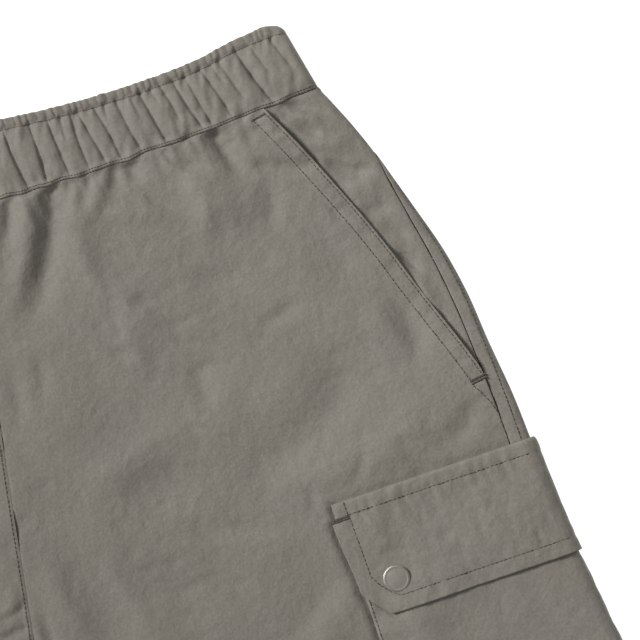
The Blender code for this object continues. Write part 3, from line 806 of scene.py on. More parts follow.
def new_group(name: str, inputs: dict[str, tuple[str, object]], outputs: dict[str, str]) -> NodeGraph:
    """Makes an empty shader node group with named sockets.

    Args:
        name: The group's name.
        inputs: For each input, its kind ("Float", "Color" or "Vector") and its default.
        outputs: For each output, its kind.

    Returns:
        The group's graph.
    """
    tree = bpy.data.node_groups.new(name, "ShaderNodeTree")
    for label, (kind, default) in inputs.items():
        socket = tree.interface.new_socket(label, in_out="INPUT", socket_type=f"NodeSocket{kind}")
        if default is not None:
            socket.default_value = default
    for label, kind in outputs.items():
        tree.interface.new_socket(label, in_out="OUTPUT", socket_type=f"NodeSocket{kind}")
    return NodeGraph(tree)


def woven_group() -> bpy.types.NodeTree:
    """Fine plain weave with dry crinkles, a cloudy tone and a slight drift in hue.

    Tone: the colour times 1 plus cloud, coarse, grain and speck noises about zero, with a drift towards a
    yellower shade in patches. Height, in mm: ridged noise for the crinkles, finer noise for the dry
    hand, and crossed sines for the threads.

    Returns:
        The group, with outputs Colour, Height and Roughness.
    """
    graph = new_group(
        "woven cloth",
        {
            "Place": ("Vector", None),
            "Thread Place": ("Vector", None),
            "Colour": ("Color", (0.2, 0.2, 0.2, 1)),
            "Yellowed": ("Color", (0.2, 0.2, 0.15, 1)),
            "Cloudiness": ("Float", 0.1),
            "Crinkle": ("Float", 0.8),
            "Grain": ("Float", 0.1),
            "Thread": ("Float", 0.01),
        },
        {"Colour": "Color", "Height": "Float", "Roughness": "Float"},
    )
    given = graph.add("NodeGroupInput").outputs

    def centred(scale: float, detail: float, rough: float) -> bpy.types.NodeSocket:
        """A noise about zero at the cloth's place."""
        return graph.maths("SUBTRACT", graph.noise(given["Place"], scale, detail, rough), 0.5)

    cloud = centred(24, 4, 0.6)
    coarse = centred(66, 4, 0.56)
    grain = centred(260, 2, 0.6)
    speck = centred(680, 1, 0.5)
    axes = graph.add("ShaderNodeSeparateXYZ", in_0=given["Thread Place"]).outputs
    turns_per_metre = 2 * math.pi / (0.55 * MM)
    warp = graph.maths("SINE", graph.maths("MULTIPLY", axes[0], turns_per_metre))
    weft = graph.maths("SINE", graph.maths("MULTIPLY", axes[1], turns_per_metre))
    weave = graph.maths("MULTIPLY", warp, weft)
    shade = graph.maths("MULTIPLY_ADD", coarse, 0.35, graph.maths("MULTIPLY", cloud, 0.6))
    shade = graph.maths("MULTIPLY_ADD", grain, 0.7, shade)
    shade = graph.maths("MULTIPLY_ADD", speck, 1.7, shade)
    shade = graph.maths("MULTIPLY_ADD", shade, given["Cloudiness"], 1.0)
    tone = graph.add("ShaderNodeCombineColor", in_Red=shade, in_Green=shade, in_Blue=shade).outputs[0]
    drift = graph.maths("MULTIPLY_ADD", centred(20, 3, 0.6), 2.2, 0.4)
    drift = graph.add("ShaderNodeClamp", in_Value=drift).outputs[0]
    hue = graph.tint(drift, given["Colour"], given["Yellowed"])
    colour = graph.tint(1.0, hue, tone, "MULTIPLY")
    ridge = graph.maths("SUBTRACT", 0.5, graph.maths("ABSOLUTE", coarse))
    height = graph.maths("MULTIPLY", ridge, given["Crinkle"])
    height = graph.maths("MULTIPLY_ADD", grain, given["Grain"], height)
    height = graph.maths("MULTIPLY_ADD", weave, given["Thread"], height)
    rough = graph.maths("MULTIPLY_ADD", cloud, 0.12, 0.80)
    graph.add("NodeGroupOutput", in_Colour=colour, in_Height=height, in_Roughness=rough)
    return graph.tree


@dataclass(frozen=True)
class ClothFinish:
    """Dry, matt cotton and nylon cloth.

    Attributes:
        name: The material's name.
        colour: Linear red, green and blue.
        yellowed: The same, where the hue drifts.
        cloudiness: How much the tone varies.
        crinkle: Height of the crinkles, mm.
        grain: Height of the finest wrinkles, mm.
        thread: Height of the weave, mm.
        sheen: Weight of the soft light that catches loose fibres.
    """

    name: str
    colour: tuple[float, float, float]
    yellowed: tuple[float, float, float]
    cloudiness: float = 0.20
    crinkle: float = 1.5
    grain: float = 0.36
    thread: float = 0.006
    sheen: float = 0.12

    def material(self, woven: bpy.types.NodeTree) -> bpy.types.Material:
        """Builds the material: the woven group's colour, roughness and height on a plain shader.

        Args:
            woven: The shared group of the weave.

        Returns:
            The material.
        """
        made, graph = new_material(self.name)
        cloth = graph.add(
            "ShaderNodeGroup",
            node_tree=woven,
            in_Place=graph.add("ShaderNodeTexCoord").outputs["Object"],
            in_Thread_Place=graph.add("ShaderNodeUVMap", uv_map="cloth").outputs["UV"],
            in_Colour=(*self.colour, 1),
            in_Yellowed=(*self.yellowed, 1),
            in_Cloudiness=self.cloudiness,
            in_Crinkle=self.crinkle,
            in_Grain=self.grain,
            in_Thread=self.thread,
        )
        bump = graph.add("ShaderNodeBump", in_Height=cloth.outputs["Height"], in_Distance=MM)
        graph.end_material(
            in_Base_Color=cloth.outputs["Colour"],
            in_Roughness=cloth.outputs["Roughness"],
            in_Normal=bump.outputs[0],
            in_Sheen_Weight=self.sheen,
            in_Sheen_Roughness=0.5,
            in_Specular_IOR_Level=0.25,
        )
        return made


@dataclass(frozen=True)
class ThreadFinish:
    """Spun sewing thread, darker than the cloth."""

    name: str = "sewing thread"
    colour: tuple[float, float, float] = (0.062, 0.056, 0.047)
    roughness: float = 0.62

    def material(self) -> bpy.types.Material:
        """Builds the material: a tone that varies from stitch to stitch."""
        made, graph = new_material(self.name)
        place = graph.add("ShaderNodeTexCoord").outputs["Object"]
        light = tuple(1.5 * part for part in self.colour)
        tone = graph.tint(graph.noise(place, 420, 2), (*self.colour, 1), (*light, 1))
        graph.end_material(in_Base_Color=tone, in_Roughness=self.roughness)
        return made


@dataclass(frozen=True)
class PewterFinish:
    """Dull grey metal of the snap caps, with fine pits and darker worn tone in patches."""

    name: str = "pewter"
    colour: tuple[float, float, float] = (0.45, 0.42, 0.37)
    dark: tuple[float, float, float] = (0.30, 0.28, 0.245)
    roughness: float = 0.52
    pits: float = 0.02

    def material(self) -> bpy.types.Material:
        """Builds the material: two tones mixed by noise, and a pitted height."""
        made, graph = new_material(self.name)
        place = graph.add("ShaderNodeTexCoord").outputs["Object"]
        patch = graph.noise(place, 480, 4, 0.6)
        tone = graph.tint(patch, (*self.dark, 1), (*self.colour, 1))
        rough = graph.maths("MULTIPLY_ADD", graph.noise(place, 900, 2), 0.2, self.roughness - 0.1)
        height = graph.maths("MULTIPLY", graph.noise(place, 1500, 3), self.pits)
        bump = graph.add("ShaderNodeBump", in_Height=height, in_Distance=MM)
        graph.end_material(
            in_Base_Color=tone,
            in_Roughness=rough,
            in_Metallic=1.0,
            in_Normal=bump.outputs[0],
        )
        return made


class Wardrobe:
    """All the materials of the garment, built once."""

    def __init__(self) -> None:
        """Builds the woven group and each finish."""
        woven = woven_group()
        plain, yellowed = (0.208, 0.192, 0.167), (0.209, 0.195, 0.162)
        self.panel = ClothFinish("panel cloth", plain, yellowed).material(woven)
        self.pocket = ClothFinish("pocket cloth", plain, yellowed, crinkle=1.3).material(woven)
        self.band = ClothFinish("waistband cloth", plain, yellowed, crinkle=0.8, grain=0.28).material(woven)
        self.thread = ThreadFinish().material()
        self.pewter = PewterFinish().material()


# ---- meshes
@dataclass
class GridMesh:
    """A surface on a grid of points, one quad for each cell.

    Attributes:
        points: Grid of (across, down, height) in mm, shaped rows, columns, 3.
        flat: Grid of the same cells in the cloth's own flat measure, mm, for the thread direction.
        loops: Whether the rows and the columns close on themselves.
        flip: Turns the faces over.
    """

    points: Array
    flat: Array
    loops: tuple[bool, bool] = (False, False)
    flip: bool = False

    def corners(self) -> Array:
        """Indices of each cell's four corners, from an index grid shifted by one row and one column."""
        rows, columns = self.points.shape[:2]
        index = np.arange(rows * columns).reshape(rows, columns)
        if self.loops[0]:
            index = np.vstack([index, index[:1]])
        if self.loops[1]:
            index = np.hstack([index, index[:, :1]])
        cells = [index[:-1, :-1], index[1:, :-1], index[1:, 1:], index[:-1, 1:]]
        return np.stack(cells[::-1] if self.flip else cells, axis=-1).reshape(-1, 4)

    def build(self, name: str, material: bpy.types.Material) -> bpy.types.Object:
        """Puts the grid into a smooth mesh object at the origin, with the UV map "cloth" in metres.

        Args:
            name: The piece's name.
            material: Its finish.

        Returns:
            The object, linked to the scene.
        """
        corners = self.corners()
        world = FORM.to_world(self.points).reshape(-1, 3)
        mesh = mesh_from(name, world, corners)
        layer = mesh.uv_layers.new(name="cloth")
        flat = self.flat.reshape(-1, 2)[corners.reshape(-1)] * MM
        layer.data.foreach_set("uv", flat.astype(np.float32).reshape(-1))
        return add_object(name, mesh, material)


def mesh_from(name: str, points: Array, corners: Array) -> bpy.types.Mesh:
    """A smooth mesh from points in metres and rows of corner indices, all of one length."""
    mesh = bpy.data.meshes.new(name)
    mesh.vertices.add(len(points))
    mesh.vertices.foreach_set("co", points.astype(np.float32).reshape(-1))
    mesh.loops.add(corners.size)
    mesh.loops.foreach_set("vertex_index", corners.astype(np.int32).reshape(-1))
    mesh.polygons.add(len(corners))
    starts = np.arange(len(corners), dtype=np.int32) * corners.shape[1]
    mesh.polygons.foreach_set("loop_start", starts)
    mesh.update(calc_edges=True)
    mesh.validate()
    mesh.shade_smooth()
    return mesh


def link_object(name: str, data: bpy.types.ID) -> bpy.types.Object:
    """Makes an object at the origin and links it to the scene."""
    item = bpy.data.objects.new(name, data)
    bpy.context.scene.collection.objects.link(item)
    return item


def add_object(name: str, mesh: bpy.types.Mesh, material: bpy.types.Material) -> bpy.types.Object:
    """Makes an object of a mesh with one material."""
    mesh.materials.append(material)
    return link_object(name, mesh)


def report(item: bpy.types.Object) -> None:
    """Logs a piece with its count of faces."""
    log.info("%s: %d faces", item.name, len(item.data.polygons))


def lengths_along(points: Array) -> Array:
    """Distance from the start of a path at each of its points."""
    return np.concatenate([[0], np.linalg.norm(np.diff(points, axis=0), axis=-1).cumsum()])


def pairs(first: Array | float, second: Array | float) -> Array:
    """Points of two coordinates, with a number spread over the other's length."""
    return np.stack(np.broadcast_arrays(first, second), axis=-1)


def graded(stops: Sequence[tuple[float, float]]) -> Array:
    """Places from stop to stop with the spacing that each stop asks for up to the next.

    Args:
        stops: Pairs of (place, spacing). The last one's spacing is not used.

    Returns:
        The places, each stop among them.
    """
    parts = []
    for (start, spacing), (end, _) in zip(stops[:-1], stops[1:]):
        count = max(1, round((end - start) / spacing))
        parts.append(np.linspace(start, end, count, endpoint=False))
    return np.concatenate([*parts, [stops[-1][0]]])


def cut_size(points: Array) -> tuple[tuple[float, float], float]:
    """Size of the flat cut: the longest row, the longest column and the area of the grid.

    Args:
        points: Grid of points in mm, without folds.

    Returns:
        (width, length) in metres, and the area in square metres.
    """
    across = np.diff(points, axis=1)
    down = np.diff(points, axis=0)
    width = np.linalg.norm(across, axis=-1).sum(axis=1).max()
    length = np.linalg.norm(down, axis=-1).sum(axis=0).max()
    area = np.linalg.norm(np.cross(across[:-1], down[:, :-1]), axis=-1).sum()
    return (width * MM, length * MM), area * MM**2


def give_wall(item: bpy.types.Object, thickness: float) -> None:
    """Gives a cloth its thickness, inwards from the face that shows."""
    wall = item.modifiers.new("wall", "SOLIDIFY")
    wall.thickness = thickness * MM
    wall.offset = -1


def declare_cloth(item: bpy.types.Object, base: Array, slot: str, node: str, rests_on: str = "") -> None:
    """Parents a piece of cloth to the body, hides the solid that it stands for, and logs the size it is cut
    to.

    Args:
        item: The piece.
        base: Its grid without folds, mm.
        slot: The material slot; not used.
        node: The solid that it replaces.
        rests_on: Name of the piece under it, or nothing; not used.
    """
    size, area = cut_size(base)
    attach(item, BODY)
    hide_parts(node)
    report(item)
    log.info("  cut %.0f by %.0f mm, %.4f square metres", size[0] / MM, size[1] / MM, area)


# ---- sewing
@dataclass
class Sewing:
    """Rows of stitches that are sewn on one sub-assembly and become one mesh.

    Attributes:
        name: The mesh's name.
        slot: The material slot of the cloth that it is sewn on; not used.
        seed: Start of the random draws.
    """

    name: str
    slot: str
    seed: int
    stitches: list[Array] = field(default_factory=list)

    SECTION = 4
    CLEARANCE = 0.08
    RINGS = ((-0.5, 0.4, -0.5), (-0.34, 1.0, 0.5), (0.34, 1.0, 0.5), (0.5, 0.4, -0.5))

    def row(
        self,
        surface: Surface,
        path: Array | Sequence[tuple[float, float]],
        pitch: float = 2.6,
        length: float = 2.3,
        radius: float = 0.24,
        turned: bool = False,
    ) -> None:
        """Sews a row: stitches spaced evenly by arc length along a path on a surface.

        Each stitch is a short spindle: rings at shares of its length, with their radius and their
        height over the cloth as given by RINGS, carried along the path's direction.

        Args:
            surface: Gives points and normals for the path's two coordinates.
            path: Points of the path in those coordinates.
            pitch: From one stitch to the next, mm.
            length: Of one stitch, mm.
            radius: Of the thread, mm.
            turned: Lays the stitches square to the path, as in a bartack.
        """
        path = np.asarray(path, float)
        chord = lengths_along(path)
        fine = np.linspace(0, chord[-1], max(40, 6 * len(path)))
        columns = [np.interp(fine, chord, column) for column in path.T]
        points, normals = surface(*columns)
        run = lengths_along(points)
        count = max(1, round(run[-1] / pitch))
        centre_at = (np.arange(count) + 0.5) * run[-1] / count

        def along(values: Array, at: Array) -> Array:
            """Values at distances along the path."""
            return np.stack([np.interp(at, run, column) for column in values.T], axis=-1)

        draw = np.random.default_rng(self.seed + len(self.stitches))
        centre = along(points + self.CLEARANCE * normals, centre_at)
        tangent = along(points, centre_at + 0.4) - along(points, centre_at - 0.4)
        tangent /= np.linalg.norm(tangent, axis=-1, keepdims=True)
        up = along(normals, centre_at)
        up /= np.linalg.norm(up, axis=-1, keepdims=True)
        aside = np.cross(up, tangent)
        if turned:
            tangent, aside = aside, -tangent
        sway = draw.normal(0, 0.05, (count, 1))
        tangent = tangent + sway * aside
        lengths = (length * draw.uniform(0.9, 1.08, count))[:, None, None, None]
        angles = np.arange(self.SECTION) * 2 * math.pi / self.SECTION + math.pi / 4
        share, girth, rise = (np.array(column)[None, :, None, None] for column in zip(*self.RINGS))
        ring = np.cos(angles)[:, None] * aside[:, None, None, :]
        ring = ring + np.sin(angles)[:, None] * up[:, None, None, :]
        body = centre[:, None, None, :] + share * lengths * tangent[:, None, None, :]
        body = body + radius * (girth * ring + rise * up[:, None, None, :])
        self.stitches.append(body)

    def bartack(self, surface: Surface, start: tuple[float, float], end: tuple[float, float]) -> None:
        """Sews a bartack: a dense row of short stitches square to a line, over two long ones."""
        self.row(surface, (start, end), pitch=0.42, length=1.5, radius=0.26, turned=True)
        self.row(surface, (start, end), pitch=2.2, length=2.4, radius=0.3)

    def build(self, material: bpy.types.Material) -> None:
        """Joins all stitches into one mesh: quads between rings and a quad at each end."""
        bodies = np.concatenate(self.stitches)
        count, rings = bodies.shape[:2]
        index = np.arange(rings * self.SECTION).reshape(rings, self.SECTION)
        turned = np.roll(index, -1, axis=1)
        walls = np.stack([index[:-1], turned[:-1], turned[1:], index[1:]], axis=-1).reshape(-1, 4)
        caps = np.array([index[0, ::-1], index[-1]])
        one = np.concatenate([walls, caps])
        corners = (one[None] + (np.arange(count) * index.size)[:, None, None]).reshape(-1, 4)
        mesh = mesh_from(self.name, FORM.to_world(bodies).reshape(-1, 3), corners)
        item = add_object(self.name, mesh, material)
        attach(item, BODY)
        report(item)


# ---- panels
@dataclass
class CutPiece:
    """A cut piece of cloth of one half. Its kind and its half name the piece and its solid.

    Attributes:
        side: Which half.
        wall: Thickness of the cloth, mm.
    """

    side: Side
    wall: float = 0.95

    KIND = ""
    SLOT = "panel_cloth"
    RESTS_ON = ""
    SEAM_OFFSETS = (0.0, 0.5, 1.2, 2.2)

    @property
    def name(self) -> str:
        """Name of the piece and of its solid."""
        return f"{self.KIND}_{self.side.label}"

    def lay(self, across: Array, down: Array, layer: Array | float, lift: Array | float) -> Grid:
        """Points and normals of a layer on the half's form, with the half's folds."""
        return DRAPES[self.side].lay(across, down, layer, lift)

    def make(self, points: Array, base: Array, flat: Array, material: bpy.types.Material) -> None:
        """Makes the piece from its grid, gives it its wall and hides the solid that it stands for.

        Args:
            points: Grid of its outer face, mm.
            base: The same grid without folds, mm.
            flat: Places of the grid in the flat cloth, counted outwards, mm.
            material: Its finish.
        """
        flat = flat * (self.side.value, 1)
        item = GridMesh(points, flat, flip=self.side is Side.RIGHT).build(self.name, material)
        give_wall(item, self.wall)
        rests_on = self.RESTS_ON and f"{self.RESTS_ON}_{self.side.label}"
        declare_cloth(item, base, self.SLOT, self.name, rests_on)


@dataclass
class FrontPanel(CutPiece):
    """Front of one half, from the centre seam and inseam to the slant pocket and the side seam.

    The edge along the slant pocket stands off the hip facing behind it, and its facing is stitched down
    in two rows with a bartack at each end. The two fronts leave `seam_left` of their seam's gap open.
    """

    seam_turn: float = 0.3
    seam_left: float = 0.1
    side_share: float = 0.7
    waist_turn: float = 0.18
    opening_lift: float = 0.75
    lift_flat: float = 12.0
    lift_end: float = 36.0
    welt_rise: float = 0.30
    welt_ripple: float = 0.26
    stitch_groove: float = 0.22
    gape: float = 1.9
    low_gape: float = 1.1
    dip_beside: float = 2.7
    dip_above: float = 0.45
    hem_depth: float = 22.0
    hem_rise: float = 0.25
    edge_stitch: float = 1.7
    welt_stitch: float = 9.0
    rise_stitch: float = 2.1
    opening_cosine: float = 0.78
    even_columns: int = 131

    KIND = "front"
    RESTS_ON = "back"
    CURL = (1.6, 12, 26, 42, 60, 78, 90)
    EDGE_COLUMNS = (7.0, 5.2, 3.6, 2.2, 1.2, 0.5, 0.0)
    EDGE_ROW = (-26.6, 136.0)
    WELT_ROW = (-22.5, 139.5)
    BARTACKS = (
        ((164.5, -22.3), (172.8, -25.0)),
        ((261.6, 139.6), (270.6, 136.6)),
        ((262.3, 141.2), (270.9, 138.3)),
    )
    BAG_LINE = ((262.6, 141.6), (268.4, 148.6), (271.6, 153.4), (274.0, 158.8))

    def outer_limit(self, down: Array) -> Array:
        """Outer edge of the panel: the slant opening above, the side seam below."""
        seam = FORM.edge(down) - FORM.seam_inset(down) / FORM.cosine(FORM.edge, down) - FORM.seam_gap / 2
        return np.where(down > FORM.opening_end, seam, np.minimum(FORM.opening(down), seam))

    def columns(self, down: Array) -> Array:
        """Places across of all columns: close at both edges, even between them."""
        curl = FORM.curled(self.CURL)
        shares = np.linspace(0, 1, self.even_columns + 1)[1:]
        breaks = np.cumsum([len(curl), len(shares)])
        count = breaks[-1] + len(self.EDGE_COLUMNS) - 1
        near, middle, far = np.split(np.broadcast_to(down, (len(down), count)), breaks, axis=1)
        start = FORM.inner(middle) + curl[-1]
        stop = self.outer_limit(middle) - self.EDGE_COLUMNS[0]
        even = start + (stop - start) * shares
        edge = self.outer_limit(far) - np.array(self.EDGE_COLUMNS[1:])
        return np.hstack([FORM.inner(near) + curl, even, edge])

    def levels(self) -> Array:
        """Rows: fine down to below the pocket's flap, and coarser along the leg."""
        upper = [(0.15, 0.45), (1.5, 0.8), (4.0, 1.6), (292.0, 3.2)]
        return graded([*upper, (420.0, 6.0), (948.0, 2.5), (FORM.hem_down, 1.0)])

    def lift(self, across: Array, down: Array) -> Array:
        """How far the panel stands off the form: at the slant opening, less at its sewn edges."""
        held = np.minimum(down, FORM.opening_end)
        inside = FORM.opening(held) - across
        near = smooth_step(inside, self.lift_end, self.lift_flat)
        along = smooth_step(down, FORM.opening_end + 38, FORM.opening_end + 2)
        width = self.welt_stitch / self.opening_cosine
        stitch = self.edge_stitch / self.opening_cosine
        welt = self.welt_rise * smooth_step(inside, width + 1.5, width - 0.5)
        gape = self.gape * bell(down + 9, 17) + self.low_gape * bell(down - 121, 15)
        gape = gape * smooth_step(inside, 15, 0)
        cross = self.welt_ripple * Ripple(4.6, 8, 90 + self.side.value, waves=12)(down + 0.5 * across)
        cross *= bell(inside - 0.5 * width, 0.42 * width)
        grooves = self.stitch_groove * (bell(inside - width, 1.1) + bell(inside - stitch, 0.9))
        lift = self.opening_lift * near * along + (welt + gape + cross - grooves) * along
        waist = np.maximum(down + FORM.waist_rise(across), 0)
        lift = lift - self.waist_turn * np.exp(-waist / 0.6)
        centre = np.maximum(across - FORM.inner(down), 0)
        lift -= self.seam_turn * np.exp(-centre / 0.8) * (down < FORM.crotch_down)
        seam = np.maximum(self.outer_limit(down) - across, 0)
        sewn = smooth_step(down, FORM.opening_end - 6, FORM.opening_end + 4)
        lift -= self.side_share * self.seam_turn * np.exp(-seam / 0.5) * sewn
        lift -= self.pocket_dip(across, down)
        level = self.hem_level(across, down)
        return lift + self.hem_rise * smooth_step(level, self.hem_depth + 1.5, self.hem_depth - 1.0)

    def pocket_dip(self, across: Array, down: Array) -> Array:
        """How deep the cargo pocket's sewn edges draw the leg down, along its inner side and its top."""
        sheet = CargoSheet(self.side)
        place, drop = sheet.unplace(across, down)
        edge = CargoPocket.inset * smooth_step(drop, 52, 60) - sheet.flare(drop)
        beside = bell(place - edge - 0.9, 2.5) * smooth_step(drop, -2, 3) * smooth_step(drop, 216, 205)
        above = bell(drop + 0.6, 1.6) * smooth_step(place, -2, 2)
        return self.dip_beside * beside + self.dip_above * above

    def hem_level(self, across: Array, down: Array) -> Array:
        """Distance up from the hem."""
        middle = (FORM.edge(FORM.hem_down) + FORM.inner(np.array(FORM.hem_down))) / 2
        return FORM.hem_down - FORM.hem_tilt * (across - middle) - down

    def surface(self, across: Array, down: Array) -> Grid:
        """Points and normals of the panel's upper face."""
        return self.lay(across, down, 1.0, self.lift(across, down))

    def build(self, wardrobe: Wardrobe) -> None:
        """Builds the panel as one layered wall."""
        across, down = FORM.settle(self.levels(), self.columns)
        points, _ = self.surface(across, down)
        points[down[:, 0] < FORM.crotch_down - 1, 0, 0] *= self.seam_left
        base = FORM.point(across, down, np.ones_like(across))
        self.make(points, base, pairs(across, down), wardrobe.panel)

    def sew(self, sewing: Sewing) -> None:
        """Two rows and bartacks along the slant pocket, its bag's line, the hem, and the rise seam.

        The rise seam's row is sewn on the right half alone.
        """
        for inset, span in ((self.edge_stitch, self.EDGE_ROW), (self.welt_stitch, self.WELT_ROW)):
            down = np.linspace(*span, 60)
            across = FORM.opening(down) - inset / FORM.cosine(FORM.opening, down)
            sewing.row(self.surface, pairs(across, down))
        for line in self.BARTACKS:
            sewing.bartack(self.surface, *line)
        sewing.row(self.surface, self.BAG_LINE)
        if self.side is Side.RIGHT:
            centre = np.linspace(3, FORM.crotch_down - 6, 80)
            sewing.row(self.surface, pairs(self.rise_stitch, centre))
        share = np.linspace(0.03, 0.985, 60)
        line = np.full(60, FORM.hem_down - self.hem_depth)
        for _ in range(8):
            across = FORM.inner(line) + (self.outer_limit(line) - FORM.inner(line)) * share
            line = line + self.hem_level(across, line) - self.hem_depth + 1.5
        sewing.row(self.surface, pairs(across, line))


@dataclass
class BackPanel(CutPiece):
    """Back of one half: a strip on the front beyond the side seam, the rolled edge, and the underside."""

    seam_turn: float = 0.25
    strip_stitch: float = 6.4

    KIND = "back"
    CURL = (74, 56, 38, 20, 1.6)
    ROLL_COLUMNS = 16
    FLAT_COLUMNS = 51

    def seam_turns(self, down: Array) -> Array:
        """Arc round the outer edge at which the side seam lies."""
        return FORM.roll_turn(FORM.seam_inset(down)) - FORM.seam_gap / 2

    def roll_turns(self, down: Array) -> Array:
        """Arcs of the first columns: close to the side seam, then even to where the underside is flat."""
        offsets = np.array(self.SEAM_OFFSETS + (self.SEAM_OFFSETS[-1],) * self.ROLL_COLUMNS)
        even = np.linspace(0, 1, self.ROLL_COLUMNS + 1)[1:]
        shares = np.concatenate([np.zeros(len(self.SEAM_OFFSETS)), even])
        start = self.seam_turns(down) - offsets
        return start + (-FORM.quarter_roll - start) * shares

    def columns(self, down: Array) -> Array:
        """Places across of all columns, from the side seam round to the centre seam."""
        curl = FORM.curled(self.CURL)
        shares = np.linspace(0, 1, self.FLAT_COLUMNS + 1)[1:]
        breaks = np.cumsum([len(self.SEAM_OFFSETS) + self.ROLL_COLUMNS, len(shares)])
        count = breaks[-1] + len(curl)
        strip, flat, near = np.split(np.broadcast_to(down, (len(down), count)), breaks, axis=1)
        start = FORM.edge(flat) - FORM.edge_roll / FORM.cosine(FORM.edge, flat)
        stop = FORM.inner(flat) + FORM.edge_roll
        rolled = FORM.rolled(self.roll_turns(strip), strip)[0]
        return np.hstack([rolled, start + (stop - start) * shares, FORM.inner(near) + curl])

    def levels(self) -> Array:
        """Rows: fine where the strip shows beside the front panel."""
        upper = [(0.15, 0.5), (1.5, 1.2), (5.0, 2.4), (292.0, 6.0)]
        return graded([*upper, (948.0, 3.0), (FORM.hem_down, 1.0)])

    def surface(self, turns: Array, down: Array) -> Grid:
        """Points and normals at arcs round the outer edge."""
        across, layer = FORM.rolled(turns, down)
        return self.lay(across, down, layer, 0.0)

    def underside(self, across: Array, down: Array) -> Grid:
        """Points and normals of the lower sheet."""
        return self.lay(across, down, -1.0, 0.0)

    def build(self, wardrobe: Wardrobe) -> None:
        """Builds the panel as one layered wall."""
        across, down = FORM.settle(self.levels(), self.columns)
        rolled = len(self.SEAM_OFFSETS) + self.ROLL_COLUMNS
        turns = self.roll_turns(down[:, :rolled])
        layer = -np.ones_like(across)
        layer[:, :rolled] = np.where(turns >= 0, 1.0, -1.0)
        from_seam = self.seam_turns(down[:, :rolled]) - turns
        lift = -self.seam_turn * np.exp(-(down + FORM.waist_rise(across)) / 0.6)
        lift[:, :rolled] -= self.seam_turn * np.exp(-from_seam / 0.4)
        ripple = Pucker(0.30, 7, 9, 26, 120 + self.side.value)
        lift[:, :rolled] += ripple(down[:, :rolled], from_seam) * smooth_step(turns, 0, 3)
        points, _ = self.lay(across, down, layer, lift)
        self.make(points, FORM.point(across, down, layer), pairs(across * layer, down), wardrobe.panel)

    def sew(self, sewing: Sewing) -> None:
        """Topstitch of the strip beyond the side seam, and the seat seam in two rows."""
        for start, end, count in ((22, 178, 70), (216, FORM.hem_down - 60, 160)):
            down = np.linspace(start, end, count)
            offset = np.minimum(self.strip_stitch, 0.55 * self.seam_turns(down))
            sewing.row(self.surface, pairs(self.seam_turns(down) - offset, down))
        seat = np.linspace(4, FORM.crotch_down - 24, 80)
        for inset in (2.2, 7.5):
            sewing.row(self.underside, pairs(inset, seat))


@dataclass
class HipFacing(CutPiece):
    """Side piece seen in the slant pocket, from under the front panel's edge to the side seam."""

    tuck: float = 9.5
    end_down: float = 133.0
    seam_turn: float = 0.35
    sink: float = 0.25
    tuck_sink: float = 0.5
    pucker: float = 0.35
    crinkle: float = 0.16

    KIND = "hip_facing"
    COLUMNS = 44

    def turns(self, down: Array) -> Array:
        """Arcs of the columns from the tucked edge to the side seam."""
        seam = FORM.roll_turn(FORM.seam_inset(down)) + FORM.seam_gap / 2
        from_edge = (FORM.edge(down) - FORM.opening(down)) * FORM.cosine(FORM.edge, down)
        start = FORM.roll_turn(from_edge + self.tuck)
        count = self.COLUMNS - len(self.SEAM_OFFSETS) + 1
        shares = np.concatenate([np.linspace(0, 1, count)[:-1], np.ones(len(self.SEAM_OFFSETS))])
        offsets = np.array((self.SEAM_OFFSETS[-1],) * (count - 1) + self.SEAM_OFFSETS[::-1])
        stop = seam + offsets
        return start + (stop - start) * shares

    def place(self, down: Array) -> Grid:
        """Places across and layers of all columns."""
        down = np.broadcast_to(down, (len(down), self.COLUMNS))
        return FORM.rolled(self.turns(down), down)

    def build(self, wardrobe: Wardrobe) -> None:
        """Builds the facing with its own folds."""
        levels = graded([(0.15, 0.5), (1.5, 1.6), (self.end_down, 1.0)])
        across, down = FORM.settle(levels, lambda at: self.place(at)[0])
        layer = self.place(down)[1]
        turns = self.turns(down)
        from_seam = turns - turns[:, -1:]
        shown = smooth_step(across - FORM.opening(down), -7, 1)
        base = FORM.point(across, down, layer)
        room = smooth_step(base[..., 2], 1.5, 5.5)
        folds = room * sum(fold(across, down) for fold in FACING_FOLDS)
        waist = down + FORM.waist_rise(across)
        folds = folds + Pucker(self.pucker, 10, 6, 16, 140 + self.side.value)(across, waist)
        folds = folds + self.crinkle * Ripple(7, 22, 150 + self.side.value, ridged=0.5)(across, down)
        lift = folds * shown * smooth_step(from_seam, 0, 7) * smooth_step(waist, 0, 4) - self.sink
        under_front = smooth_step(across - FORM.opening(down), 7, -2) * smooth_step(waist, 2, 12)
        lift = lift - self.tuck_sink * under_front
        lift = lift - self.seam_turn * (np.exp(-from_seam / 0.5) + np.exp(-waist / 0.6))
        points, _ = self.lay(across, down, layer, lift)
        self.make(points, base, pairs(across, down), wardrobe.panel)


